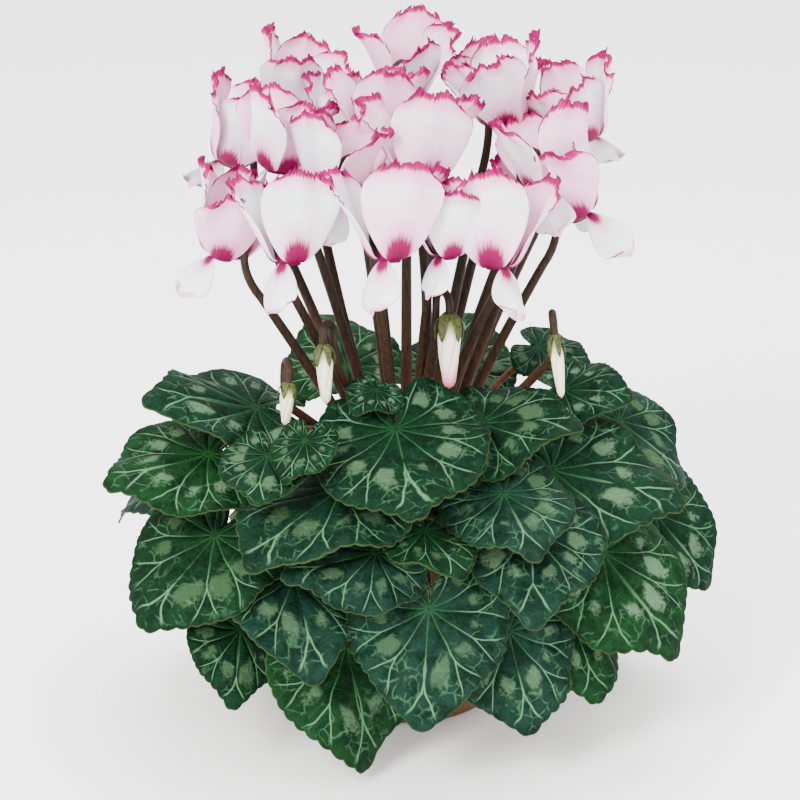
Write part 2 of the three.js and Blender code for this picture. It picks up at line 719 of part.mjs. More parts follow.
const flowers = bunches.map((bunch) => bunch.made);
BUDS.forEach((row, number) => {
  const frame = budFrame(row);
  const made = bud(frame, row);
  const curve = hookCurve(frame);
  const isFree = standsClear(made, [...stalks, ...flowers, ...blades]);
  flowers.push(made);
  const stalk = scapeUnder(curve, [...flowers, ...blades]);
  if (!isFree || !stalk) throw new Error(`bud ${number + 1} finds no place`);
  stalks.push(tube(curve, HOOK_RADIUS, HOOK_SIDES, HOOK_STEPS), stalk);
  group.add(named(numbered('bud', number), made, BUD_FINISH));
});

const obstacles = [potSolid, soilSolid, ...blades, ...flowers];
bladeFrames.forEach((frame, number) => {
  const stalk = clearRoute((route) => petiole(frame, route), obstacles);
  if (!stalk) throw new Error(`the stalk of leaf ${number + 1} finds no way`);
  stalks.push(stalk);
});
const grown = join([solid(turned(cormProfile(0), CORM_SIDES)), ...stalks]);
group.add(named('corm_and_stalks', grown, { color: 0x5a3a2a, roughness: 0.6, metalness: 0 }));

export default group;
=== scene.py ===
"""Potted cyclamen: toothed, veined leaves, fringed flowers, hooked stalks, buds, soil and pot."""
import math
import random

import bmesh
import bpy
import numpy as np
from mathutils import Matrix, Vector, noise
from mathutils.bvhtree import BVHTree


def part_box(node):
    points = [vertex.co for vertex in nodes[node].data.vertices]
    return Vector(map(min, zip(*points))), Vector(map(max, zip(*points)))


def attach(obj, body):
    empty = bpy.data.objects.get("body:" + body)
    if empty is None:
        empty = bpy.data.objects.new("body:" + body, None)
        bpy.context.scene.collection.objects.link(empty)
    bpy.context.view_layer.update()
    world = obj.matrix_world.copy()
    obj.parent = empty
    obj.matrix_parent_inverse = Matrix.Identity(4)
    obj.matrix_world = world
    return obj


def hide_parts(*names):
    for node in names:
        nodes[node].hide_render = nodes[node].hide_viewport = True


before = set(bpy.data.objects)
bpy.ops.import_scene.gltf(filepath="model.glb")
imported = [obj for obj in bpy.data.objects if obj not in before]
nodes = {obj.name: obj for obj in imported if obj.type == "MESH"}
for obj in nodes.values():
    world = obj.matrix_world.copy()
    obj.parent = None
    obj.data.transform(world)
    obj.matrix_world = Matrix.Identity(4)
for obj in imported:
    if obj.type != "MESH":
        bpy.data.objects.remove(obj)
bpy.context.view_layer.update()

# Sizes are in millimetres and become metres when a mesh is finished
MM = 0.001
GAP = 0.3

# Leaf blades: stalk end, tip, roll in degrees and coarse teeth of the solid
LEAVES = [
    ((-28, -93, 66), (-19, -108, 7), 0, 13),
    ((-78, -88, 71), (-82, -108, 40), -24, 11),
    ((77, -76, 77), (89, -94, 35), 0, 11),
    ((46, -94, 73), (56, -112, 27), 0, 11),
    ((0, 98, 86), (4, 122, 32), 0, 8),
    ((58, 82, 84), (70, 102, 32), 0, 8),
    ((-60, 80, 84), (-76, 98, 34), 0, 8),
    ((96, 30, 84), (120, 40, 36), 0, 8),
    ((-102, 30, 84), (-122, 38, 36), 0, 8),
    ((-79, -70, 95), (-101, -88, 76), -10, 10),
    ((-53, -86, 97), (-42, -124, 60), 0, 12),
    ((10, -100, 87), (6, -124, 36), 0, 14),
    ((123, -5, 97), (151, -8, 57), 45, 12),
    ((92, -66, 101), (126, -86, 53), 30, 14),
    ((-88, -74, 111), (-119, -94, 67), -34, 13),
    ((-14, -102, 117), (-56, -118, 108), -34, 12),
    ((58, -86, 123), (58, -126, 88), 6, 13),
    ((8, -104, 128), (26, -130, 115), 0, 10),
    ((-29, -82, 142), (-70, -118, 107), 8, 14),
    ((45, -86, 139), (58, -128, 121), 6, 11),
    ((26, 66, 146), (34, 110, 160), 0, 9),
    ((-30, 64, 148), (-42, 108, 162), 0, 9),
    ((76, 50, 138), (114, 76, 132), 0, 9),
    ((-76, 44, 140), (-116, 70, 138), 0, 9),
    ((-104, 0, 120), (-146, 8, 88), 0, 12),
    ((105, 2, 143), (138, 0, 111), 30, 12),
    ((69, -50, 137), (131, -62, 121), 24, 14),
    ((-93, -54, 137), (-140, -80, 127), -28, 12),
    ((66, 40, 168), (92, 32, 160), 20, 10),
    ((76, -10, 161), (110, -20, 161), 38, 11),
    ((35, -56, 163), (82, -64, 165), 22, 12),
    ((-72, -34, 160), (-124, -56, 171), -26, 12),
    ((-64, -80, 145), (-69, -110, 131), 6, 10),
    ((-4, -66, 157), (6, -126, 132), 0, 14),
    ((-44, -84, 160), (-52, -100, 143), 0, 10),
    ((-15, -48, 168), (-25, -66, 162), -20, 9),
]
# Edge of a blade: degrees from its tip, and reach as a share of its length
LEAF_EDGE = [
    (0, 1), (10, 0.9), (24, 0.81), (45, 0.745), (70, 0.69), (95, 0.65),
    (120, 0.6), (143, 0.53), (160, 0.41), (172, 0.22), (180, 0.09),
]
# Droop to the sides, arch along it and waves of a blade, as shares of its length
SIDE_DROOP = 0.26
ARCH = 0.5
WAVE_HEIGHT = 0.05
BLADE_THICKNESS = 0.8
# The solid's ring inside the edge, and its teeth, as shares of reach
SOLID_RING = 0.55
TOOTH_DEPTH = 0.02
# The fine blade: degrees over which its edge is eased, teeth, and waves as shares of its length
EDGE_EASE = 5
TEETH = 46
FINE_TOOTH = 0.026
TIP_POINT = 0.04
TIP_WIDTH = 0.13
BROAD_LOBE = 0.022
SMALL_LOBE = 0.014
BROAD_FOLD = 0.018
SMALL_FOLD = 0.014
PILLOW = 0.011
SPOKES = 4 * TEETH
RINGS = 13
RING_EASE = 0.85
LEAF_SEED = 100
# Veins on each half of a blade, how they draw together outwards, and where and how wide each forks
VEINS = 6
VEIN_SPREAD = 1.07
VEIN_DRAW = 0.14
FORK = 0.6
FORK_WIDTH = 0.75
# Tilts in degrees at which a blade's solid may have come to lie
BLADE_PITCHES = (0, 4, -4, 8, -8, 12)
BLADE_LEANS = (0, 5, -5, 10, -10)

# Blooms: middle of the mouth, azimuth that it faces, nod, petal length, handedness
BLOOMS = [
    # Lower tier
    ((-8, -75, 249), -5, 14, 50, 1),
    ((-54, -60, 243), -20, 14, 48, 1),
    ((42, -60, 241), 12, 14, 50, -1),
    ((-87, -26, 236), -70, 16, 46, -1),
    ((82, -14, 252), 80, 26, 52, 1),
    ((76, 34, 248), 120, 20, 44, -1),
    ((-6, 76, 246), 185, 18, 46, 1),
    ((-86, 24, 268), -95, 22, 46, 1),
    # Middle tier
    ((6, -32, 272), 0, 10, 50, 1),
    ((-32, -38, 268), -20, 10, 44, -1),
    ((66, -26, 264), 40, 14, 44, 1),
    ((18, -58, 246), 0, 4, 38, 1),
    ((-62, -20, 264), -60, 10, 44, 1),
    ((52, 12, 278), 60, 12, 46, -1),
    ((-34, 30, 272), -120, 10, 42, 1),
    # Upper tier
    ((-14, -4, 281), -10, 4, 42, 1),
    ((-60, 44, 280), -110, 14, 42, -1),
    ((0, 60, 284), 180, 8, 44, -1),
    ((44, 52, 284), 140, 10, 42, 1),
    ((86, 10, 284), 90, 18, 42, -1),
]
# Turns in degrees and lifts at which a bloom's solid may have settled
BLOOM_SPINS = (0, 12, -12, 24, -24, 36, -36)
BLOOM_LIFTS = (0, -4, 4, 8, 12)
# Petals: azimuth, sweep, length share, width share
PETALS = [
    (20, 80, 1, 1),
    (92, 72, 0.95, 0.95),
    (158, 74, 0.92, 0.9),
    (268, 72, 0.95, 0.95),
    (326, -66, 0.55, 0.6),
]
# Shift of each petal outward in mm, so that neighbours lie over each other
PETAL_LAY = [1.4, 0, 0.7, 0, 0]
# Width as a share of length: in the solid, and with the softer shape here
PETAL_WIDTH = 0.62
PETAL_BREADTH = 0.76
# Half width where a petal starts, and the share of its length at which it is widest
PETAL_NECK = 0.07
PETAL_WIDEST = 0.75
PETAL_THICKNESS = 0.6
PETAL_ROOT = 4.7
PETAL_START = -30
PETAL_BEND = 0.07
PETAL_FLARE = 14
PETAL_STEPS = 40
PETAL_CUP = 0.3
PETAL_TWIST = 26
# Rows of the solid's petals that are looked up: share of the length, and points across
UPRIGHT_ROWS = [(0.4, 3), (1, 5)]
HANGING_ROWS = [(1, 3)]
SOLID_NOTCH = 0.045
TUBE_LENGTH = 9
TUBE_PROFILE = [
    (0, 8.9), (3.6, 8.6), (5.0, 6.4), (5.4, 4), (5.3, 1.5),
    (5.6, -0.6), (5.0, -1.3), (3.2, 0.6), (2.4, 3), (0, 3.4),
]
# Upright and hanging petals: columns and rows, share of the frill, taper of the tip, share of blush
UPRIGHT = (38, 24, 1.0, 0.3, 1)
HANGING = (24, 14, 0.06, 0.7, 0.3)
# Fringe, curl and waves of a petal, as shares of its length
FRINGE = 0.026
FRINGE_LOBE = 0.045
FRINGE_CURL = 0.05
SIDE_CRIMP = 0.012
PETAL_WAVE = 0.022
BLOOM_SEED = 500
# Sepals on the tube of a bloom
CALYX_TOP = 9.2
CALYX_RADIUS = 3.9
CALYX_LENGTH = 5.5
SEPALS = 5
SEPAL_THICKNESS = 0.5

# Buds: middle, azimuth that it faces, nod, length, radius, handedness
BUDS = [
    ((-56, -62, 174), -20, 12, 20, 3.4, 1),
    ((-38, -60, 188), 10, 12, 28, 4, -1),
    ((20, -50, 196), 0, 8, 36, 5.5, 1),
    ((71, -54, 190), 30, 14, 30, 3.2, -1),
]
# The bud that is near to opening, and pink
PINK_BUD = 2
# Radius along a bud, as a share of its widest, at these shares of its length
BUD_DEPTHS = (0, 0.04, 0.28, 0.6, 0.88, 0.96, 1)
BUD_SWELL = (0, 0.55, 1, 0.82, 0.56, 0.5, 0)
BUD_RINGS = 22
BUD_FOLD = 0.09
BUD_SLIM = 0.96
# A bud's sepals, as shares of its radius and length
BUD_CALYX_RADIUS = 0.92
BUD_CALYX_LENGTH = 0.36

# Corm and stalks
CORM_RADIUS = 24
CORM_HEIGHT = 26
CORM_MIDDLE = 104
CORM_SLIM = 0.96
CORM_LUMPS = 0.05
CROWN_HEIGHT = 114
FOOT_DEPTH = 2.5
LINE_POINTS = 33
# Leaf stalks: foot, arch over the crown, and the neck that meets the blade
PETIOLE_RADIUS = 1.7
PETIOLE_SWELL = 0.15
PETIOLE_FOOT = 19
ARCH_HEIGHT = 20
ARCH_PLACE = 0.3
ARCH_IF_LOW = -0.9
ARCH_IF_HIGH = 0.4
NECK_LEAN = 0.9
NECK_LENGTH = 18
NECK_SWAY = 0.3
NECK_SINK = 0.35
# Flower stalks: foot and bend as shares, and the hook at the top
SCAPE_FOOT = 0.18
SCAPE_BEND = 0.45
SCAPE_BOW = 0.08
SCAPE_RADIUS = 2.4
STALK_STOUT = 1.15
HOOK_RADIUS = 1.7
HOOK_TURN = 5.5
HOOK_AZIMUTH = 213
HOOK_SEAT = TUBE_LENGTH + 2 * GAP
HOOK_DROP = 3
HOOK_RISE = 4
HOOK_BENDS = (0, 45, 90, 135, 180)
HOOK_STEPS = 5
JOIN_POINTS = 9
# Ways that a stalk may take in its solid: sway and bow as shares of its reach, rise in mm
SWAYS = (0, 0.12, -0.12, 0.24, -0.24, 0.36, -0.36, 0.5, -0.5, 0.65, -0.65)
BOWS = (0, 0.12, -0.12, 0.24, -0.24, 0.36)
RISES = (0, 14, -12, 28)
# Points of a stalk's chords in the solid, and those at which the solid is looked up
CHORD_ENDS = 4
LOOK_POINTS = 19

# Pot and soil
POT_HEIGHT = 112
POT_BASE_RADIUS = 45
POT_MOUTH_RADIUS = 62
POT_WALL = 3
RIM_DEPTH = 20
RIM_STAND_OUT = 3
DRAIN_HOLES = 5
DRAIN_RADIUS = 4
DRAIN_CIRCLE = 27
SOIL_TOP = 102
SOIL_FLARE = 17
SOIL_EDGE = 1.5
SOIL_LUMPS = 1.3
CRUMBS = 260
CRUMB_REACH = 33
CRUMB_SEED = 7

# Floor: size and drop below the pot
FLOOR_SIZE = 6000
FLOOR_DROP = 0.3

# Camera: aim and distance in metres, elevation in degrees, lens in mm
CAMERA_AIM = (-0.003, 0, 0.154)
CAMERA_DISTANCE = 1.4
CAMERA_ELEVATION = 20
CAMERA_LENS = 128.57


# Shader maths

class Socket:
    """An output of a material's node, with arithmetic on it."""

    def __init__(self, finish, socket):
        self.finish = finish
        self.socket = socket

    def maths(self, operation, *values):
        return self.finish.node("ShaderNodeMath", {"operation": operation}, dict(enumerate(values)))

    def __add__(self, other):
        return self.maths("ADD", self, other)

    def __radd__(self, other):
        return self.maths("ADD", other, self)

    def __sub__(self, other):
        return self.maths("SUBTRACT", self, other)

    def __rsub__(self, other):
        return self.maths("SUBTRACT", other, self)

    def __mul__(self, other):
        return self.maths("MULTIPLY", self, other)

    def __rmul__(self, other):
        return self.maths("MULTIPLY", other, self)

    def __mod__(self, other):
        return self.maths("FLOORED_MODULO", self, other)

    def __abs__(self):
        return self.maths("ABSOLUTE", self)

    def most(self, other):
        return self.maths("MAXIMUM", self, other)

    def rise(self, low, high):
        """0 below low and 1 above high, with a smooth way between."""
        return self.finish.node(
            "ShaderNodeMapRange", {"interpolation_type": "SMOOTHSTEP"}, {0: self, 1: low, 2: high})

    def colours(self, first, second):
        """The first colour where this is 0 and the second where it is 1."""
        return self.finish.node(
            "ShaderNodeMix", {"data_type": "RGBA"}, {0: self, 6: first, 7: second}, 2)


class Finish:
    """A procedural material."""

    def __init__(self, name, **constants):
        self.material = bpy.data.materials.new(name)
        self.material.use_nodes = True
        self.tree = self.material.node_tree
        self.shader = self.tree.nodes["Principled BSDF"]
        for key, value in constants.items():
            self.shader.inputs[key.replace("_", " ")].default_value = value

    def node(self, kind, settings=None, values=None, output=0):
        made = self.tree.nodes.new(kind)
        for key, value in (settings or {}).items():
            setattr(made, key, value)
        for key, value in (values or {}).items():
            self.feed(made.inputs[key], value)
        return Socket(self, made.outputs[output])

    def feed(self, socket, value):
        if isinstance(value, Socket):
            self.tree.links.new(value.socket, socket)
        else:
            socket.default_value = value

    def place(self):
        """The place on the piece, in metres."""
        return self.node("ShaderNodeTexCoord", output=3)

    def map(self, name):
        """The two numbers of one of the piece's own maps."""
        uv = self.node("ShaderNodeUVMap", {"uv_map": name})
        split = self.node("ShaderNodeSeparateXYZ", None, {0: uv})
        return split, Socket(self, split.socket.node.outputs[1])

    def stretched(self, vector, scale):
        return self.node("ShaderNodeVectorMath", {"operation": "MULTIPLY"}, {0: vector, 1: scale})

    def clouds(self, vector, scale, detail=3, rough=0.5):
        return self.node("ShaderNodeTexNoise", None, {
            "Vector": vector, "Scale": scale, "Detail": detail, "Roughness": rough})

    def cells(self, vector, scale, feature="DISTANCE_TO_EDGE"):
        return self.node("ShaderNodeTexVoronoi", {"feature": feature}, {"Vector": vector, "Scale": scale})

    def dress(self, colour, rough, bump=None, strength=0.4, depth=0.0005):
        """Gives the shader its colour, roughness and surface."""
        self.feed(self.shader.inputs["Base Color"], colour)
        self.feed(self.shader.inputs["Roughness"], rough)
        if bump is not None:
            raised = self.node("ShaderNodeBump", None, {
                "Strength": strength, "Distance": depth, "Height": bump})
            self.feed(self.shader.inputs["Normal"], raised)
        return self.material


def paint(red, green, blue):
    """A colour from its display values, 0 to 255."""
    def linear(value):
        share = value / 255
        return share / 12.92 if share <= 0.04045 else ((share + 0.055) / 1.055) ** 2.4
    return (linear(red), linear(green), linear(blue), 1)


def vein_lines(share, turn, stray):
    """How far a leaf's points are from the middle of the nearest vein, and from the vein with its fork."""
    run = turn * VEINS * (VEIN_SPREAD - VEIN_DRAW * share) + stray
    cell = abs((run + 0.5) % 1 - 0.5)
    return cell, abs(cell - ((share - FORK) * FORK_WIDTH).most(0.0)) * share


def leaf_top_finish():
    leaf = Finish("leaf_top", Specular_IOR_Level=0.04)
    share, turn = leaf.map("marks")
    tone, hue = leaf.map("tone")
    place = leaf.place()
    drift = leaf.clouds(place, 55, 2) - 0.5
    patch = leaf.clouds(place, 48, 1) - 0.5
    feather = leaf.clouds(place, 520, 5, 0.7) - 0.5
    cell, fork = vein_lines(share, turn, drift * 0.26)
    fork = fork + feather * 0.008
    vein = 1 - fork.rise(0.005, 0.022)
    rib = (1 - (cell * share).rise(0.005, 0.02)) * (1 - share.rise(0.55, 0.7))
    vein = vein.most(rib) * (1 - share.rise(0.86, 0.99)) * share.rise(0.0, 0.06)
    warped = leaf.node("ShaderNodeVectorMath", {"operation": "ADD"}, {0: place, 1: leaf.stretched(
        leaf.node("ShaderNodeTexNoise", None, {"Vector": place, "Scale": 120}, 1), (0.006, 0.006, 0.006))})
    net = (1 - leaf.cells(warped, 118).rise(0.0, 0.07)) * leaf.clouds(place, 150, 2).rise(0.42, 0.6)
    web = 1 - leaf.cells(place, 300).rise(0.0, 0.1)
    inner = (share + feather * 0.1 + patch * 0.3 + drift * 0.12).rise(0.49, 0.55)
    outer = 1 - (share + feather * 0.5 + (0.5 - cell) * 0.3 - patch * 0.5).rise(0.64, 0.78)
    blotch = inner * outer * (cell + feather * 0.2 + patch * 0.8).rise(0.17, 0.29)
    emerald = hue.colours(paint(6, 32, 14), paint(8, 37, 23))
    bluish = tone.rise(0.55, 0.85).colours(emerald, paint(15, 38, 29))
    bright = (1 - tone.rise(0.1, 0.3)).colours(bluish, paint(10, 42, 16))
    mottled = (leaf.clouds(place, 130, 4).rise(0.38, 0.66) * 0.75).colours(bright, paint(3, 17, 9))
    netted = (web * 0.12).colours(mottled, paint(34, 68, 44))
    outward = net * share.rise(0.3, 0.6) * (1 - share.rise(0.9, 1.0))
    branched = (outward * 0.5).colours(netted, paint(60, 98, 68))
    sage = hue.colours(paint(66, 92, 60), paint(80, 106, 82))
    marked = (blotch * (0.42 + 0.45 * hue.rise(0.1, 0.8)) * (1 - web * 0.15)).colours(branched, sage)
    pale = share.rise(0.2, 0.65).colours(paint(30, 72, 34), paint(84, 122, 88))
    veined = (vein * 0.7).colours(marked, pale)
    rimmed = (share.rise(0.982, 0.998) * 0.35).colours(veined, paint(70, 84, 40))
    rough = 0.52 + leaf.clouds(place, 300, 3) * 0.2 + blotch * 0.08
    pillows = fork.rise(0.0, 0.12) * 0.8 + leaf.cells(place, 300).rise(0.0, 0.2) * 0.25
    quilt = pillows - net * 0.25 + feather * 0.3
    return leaf.dress(rimmed, rough, quilt, 0.7, 0.0009)


def leaf_under_finish():
    leaf = Finish("leaf_underside", Specular_IOR_Level=0.08)
    share, turn = leaf.map("marks")
    place = leaf.place()
    drift = leaf.clouds(place, 55, 2) - 0.5
    _, fork = vein_lines(share, turn, drift * 0.22)
    vein = 1 - fork.rise(0.012, 0.045)
    plain = leaf.clouds(place, 90, 4).rise(0.3, 0.7).colours(paint(62, 78, 26), paint(86, 94, 38))
    blushed = (leaf.clouds(place, 30, 2).rise(0.5, 0.7) * 0.5).colours(plain, paint(120, 72, 66))
    colour = (vein * 0.6).colours(blushed, paint(150, 110, 80))
    return leaf.dress(colour, 0.6 + drift * 0.2, vein, 0.7, 0.0008)


def petal_finish():
    petal = Finish("petal", Subsurface_Weight=0.05, Subsurface_Scale=0.002, Specular_IOR_Level=0.1)
    side, share = petal.map("marks")
    _, blush = petal.map("tone")
    place = petal.place()
    flat = petal.node("ShaderNodeUVMap", {"uv_map": "marks"})
    rays = petal.clouds(petal.stretched(flat, (26, 1.6, 1)), 1.6, 3)
    streaks = petal.clouds(petal.stretched(flat, (60, 3, 1)), 1.2, 2)
    speckle = petal.clouds(place, 900, 2)
    off = abs(side - 0.5) * 2
    cream = petal.clouds(place, 60, 3).rise(0.35, 0.65).colours(paint(236, 242, 241), paint(220, 226, 229))
    inner = (blush.rise(0.2, 0.85) * (0.95 - 0.35 * share)).colours(cream, paint(238, 172, 202))
    warm = ((1 - share.rise(0.2, 0.8)) * (0.3 + blush * 0.5)).colours(inner, paint(234, 176, 204))
    lined = (streaks.rise(0.5, 0.75) * 0.3 * (1 - share.rise(0.55, 1.0))).colours(warm, paint(224, 150, 184))
    edge = share.most(off.rise(0.9, 1.0) * share.rise(0.5, 0.8)) + (streaks - 0.5) * 0.09
    pinked = (edge.rise(0.74, 0.93) * 0.75).colours(lined, paint(232, 130, 180))
    fringe = edge.rise(0.92, 0.96).colours(pinked, paint(152, 2, 88))
    tips = (edge.rise(0.965, 1.0) * (0.35 + speckle * 0.7)).colours(fringe, paint(92, 0, 56))
    reach = share + (rays - 0.5) * 0.2 + (streaks - 0.5) * 0.06 + off * off * 0.34
    haze = ((1 - reach.rise(0.26, 0.56)) * 0.6).colours(tips, paint(214, 90, 156))
    eye = (1 - reach.rise(0.25, 0.37)).colours(haze, paint(114, 0, 62))
    deep = ((1 - reach.rise(0.06, 0.26)) * 0.85).colours(eye, paint(84, 0, 44))
    rough = 0.5 + speckle * 0.15
    ridges = streaks * 0.7 + petal.clouds(place, 500, 3) * 0.3
    return petal.dress(deep, rough, ridges, 0.35, 0.0005)


def stalk_finish():
    stalk = Finish("stalk", Specular_IOR_Level=0.12)
    place = stalk.place()
    height = stalk.node("ShaderNodeSeparateXYZ", None, {0: place}, 2)
    grain = stalk.clouds(stalk.stretched(place, (1, 1, 0.12)), 900, 3)
    dark = grain.rise(0.35, 0.7).colours(paint(46, 32, 22), paint(28, 20, 14))
    red = grain.rise(0.3, 0.7).colours(paint(78, 44, 26), paint(50, 28, 18))
    colour = (height + stalk.clouds(place, 40, 2) * 0.05).rise(0.15, 0.235).colours(red, dark)
    hairs = stalk.clouds(place, 2600, 2)
    return stalk.dress(colour, 0.45 + grain * 0.2, grain * 0.6 + hairs * 0.4, 0.5, 0.0003)


def petiole_finish():
    stalk = Finish("petiole", Specular_IOR_Level=0.15)
    place = stalk.place()
    grain = stalk.clouds(stalk.stretched(place, (1, 1, 0.3)), 700, 3)
    colour = grain.rise(0.3, 0.7).colours(paint(92, 50, 34), paint(60, 42, 26))
    return stalk.dress(colour, 0.5 + grain * 0.2, grain, 0.4, 0.0003)


def corm_finish():
    corm = Finish("corm")
    place = corm.place()
    lumps = corm.clouds(place, 160, 6, 0.65)
    colour = lumps.rise(0.3, 0.7).colours(paint(58, 42, 32), paint(112, 84, 62))
    cracks = corm.cells(place, 220).rise(0.0, 0.12)
    cracked = cracks.colours(paint(34, 24, 20), colour)
    return corm.dress(cracked, 0.85 + lumps * 0.1, lumps + cracks * 0.5, 0.8, 0.0012)


def bud_finish():
    bud = Finish("bud", Subsurface_Weight=0.05, Subsurface_Scale=0.003, Specular_IOR_Level=0.2)
    side, share = bud.map("marks")
    pink, _ = bud.map("tone")
    twist = (side * 5 + share * 1.4) % 1
    seam = (1 - abs(twist - 0.5).rise(0.0, 0.09)) * share.rise(0.1, 0.3)
    body = pink.colours(paint(228, 224, 196), paint(238, 218, 208))
    tip = (share.rise(0.6, 1.0) * (0.15 + pink * 0.75)).colours(body, paint(190, 40, 110))
    base = (1 - share.rise(0.1, 0.36)).colours(tip, paint(124, 136, 78))
    # Painted shade: the spiral seams between the wound petals are painted a darker tan, as shade in their
    # grooves
    seam_shade = (seam * 0.55).colours(base, paint(178, 150, 120))
    grain = bud.clouds(bud.place(), 800, 3)
    return bud.dress(seam_shade, 0.5 + grain * 0.15, (1 - seam) + grain * 0.2, 0.6, 0.0006)


def calyx_finish():
    calyx = Finish("calyx", Specular_IOR_Level=0.15)
    place = calyx.place()
    grain = calyx.clouds(place, 700, 4)
    colour = grain.rise(0.3, 0.7).colours(paint(74, 88, 42), paint(52, 46, 28))
    return calyx.dress(colour, 0.55 + grain * 0.2, grain, 0.5, 0.0004)


def soil_finish():
    soil = Finish("peat")
    place = soil.place()
    lumps = soil.clouds(place, 260, 8, 0.7)
    bits = soil.node("ShaderNodeTexVoronoi", None, {"Vector": place, "Scale": 330})
    colour = lumps.rise(0.3, 0.7).colours(paint(30, 20, 15), paint(78, 54, 38))
    flecked = (1 - bits.rise(0.08, 0.16)).colours(colour, paint(128, 100, 74))
    return soil.dress(flecked, 0.9 + lumps * 0.08, lumps + bits * 0.4, 0.9, 0.0016)


def pot_finish():
    pot = Finish("pot", Specular_IOR_Level=0.2)
    place = pot.place()
    height = pot.node("ShaderNodeSeparateXYZ", None, {0: place}, 2)
    fine = pot.clouds(place, 1500, 3)
    broad = pot.clouds(place, 22, 4, 0.6)
    rings = pot.clouds(pot.stretched(place, (0.06, 0.06, 1)), 900, 3)
    clay = broad.rise(0.3, 0.7).colours(paint(88, 48, 30), paint(70, 38, 24))
    dusty = ((1 - height.rise(0.0, 0.03)) * broad.rise(0.35, 0.6) * 0.55).colours(clay, paint(112, 82, 64))
    worn = (fine.rise(0.6, 0.75) * 0.3).colours(dusty, paint(52, 28, 18))
    return pot.dress(worn, 0.72 + fine * 0.2, rings * 0.5 + fine * 0.5, 0.35, 0.0005)


def plain_finish(name, colour, rough):
    finish = Finish(name)
    grain = finish.clouds(finish.place(), 3, 2)
    return finish.dress(grain.colours(colour, tuple(0.985 * value for value in colour)), rough)


# Making of pieces

def mesh_of(name, bm):
    """A mesh in metres from a bmesh in millimetres."""
    bmesh.ops.scale(bm, vec=(MM, MM, MM), verts=bm.verts)
    mesh = bpy.data.meshes.new(name)
    bm.to_mesh(mesh)
    bm.free()
    return mesh


def in_scene(name, data):
    made = bpy.data.objects.new(name, data)
    bpy.context.scene.collection.objects.link(made)
    return made


def finished(name, bm, materials, replaced=(), smooth=True):
    return placed(name, mesh_of(name, bm), materials, replaced, smooth)


def placed(name, mesh, materials, replaced=(), smooth=True):
    """A piece with its finish, in place of the solids that it replaces."""
    for material in materials:
        mesh.materials.append(material)
    for face in mesh.polygons:
        face.use_smooth = smooth
    piece = in_scene(name, mesh)
    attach(piece, "root")
    if replaced:
        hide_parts(*replaced)
    return piece


def thicken(piece, thickness, under=0):
    """Gives a sheet its thickness, behind its faces, with another finish on the back where under is 1."""
    solid = piece.modifiers.new("thickness", "SOLIDIFY")
    solid.thickness = thickness * MM
    solid.offset = -1
    solid.material_offset = under


def turn_round(bm, geometry, steps):
    """Turns an edge line around the upright axis into a surface."""
    bmesh.ops.spin(
        bm, geom=geometry, cent=(0, 0, 0), axis=(0, 0, 1), angle=2 * math.pi, steps=steps, use_merge=True)


def spun(profile, steps):
    """A round bmesh from a profile of radius and height that starts and ends on the axis."""
    bm = bmesh.new()
    line = [bm.verts.new((radius, 0, height)) for radius, height in profile]
    edges = [bm.edges.new(pair) for pair in zip(line, line[1:])]
    turn_round(bm, line + edges, steps)
    bmesh.ops.remove_doubles(bm, verts=bm.verts, dist=1e-4)
    bmesh.ops.recalc_face_normals(bm, faces=bm.faces)
    return bm


def stand(bm, front, up, place):
    """Moves a bmesh from the upright axis to a bloom's axes and place."""
    turn = Matrix((front, up.cross(front), up)).transposed().to_4x4()
    bmesh.ops.transform(bm, matrix=Matrix.Translation(place) @ turn, verts=bm.verts)


def box_of(node):
    """Middle and size of a solid's box in millimetres."""
    low, high = (Vector(corner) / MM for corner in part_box(node))
    return (low + high) / 2, high - low


def misfit(points, node):
    """How far the box of some points is from the solid's box, in size and in place."""
    middle, size = box_of(node)
    low, high = Vector(points.min(axis=0)), Vector(points.max(axis=0))
    return (high - low - size).length, middle - (low + high) / 2


# Leaves

EDGE_ANGLES = [math.radians(angle) for angle, _ in LEAF_EDGE]
EDGE_REACHES = [reach for _, reach in LEAF_EDGE]


def edge_reach(angle):
    return np.interp(np.abs(angle), EDGE_ANGLES, EDGE_REACHES)


def soft_reach(angle):
    """The edge with its corners eased."""
    step = math.radians(EDGE_EASE)
    inner = np.abs(angle)
    beyond = np.minimum(inner + step, math.pi)
    return (edge_reach(inner - step) + 2 * edge_reach(inner) + edge_reach(beyond)) / 4


def blade_axes(root, tip, roll):
    along = Vector(tip) - Vector(root)
    size = along.length
    along.normalize()
    level = along.cross(Vector((0, 0, 1))).normalized()
    raised = level.cross(along)
    turn = math.radians(roll)
    across = level * math.cos(turn) - raised * math.sin(turn)
    out = raised * math.cos(turn) + level * math.sin(turn)
    return size, along, across, out


def tilted(along, across, out, pitch, lean):
    p, q = math.radians(pitch), math.radians(lean)
    ahead = along * math.cos(p) + out * math.sin(p)
    raised = out * math.cos(p) - along * math.sin(p)
    return ahead, across * math.cos(q) + raised * math.sin(q), raised * math.cos(q) - across * math.sin(q)


def blade_height(u, v, share, angle, phase):
    arch = np.where(u > 0, ARCH * u * u * (1 - u), 0)
    return arch - SIDE_DROOP * v * v + WAVE_HEIGHT * share ** 2 * np.sin(5 * angle + phase)


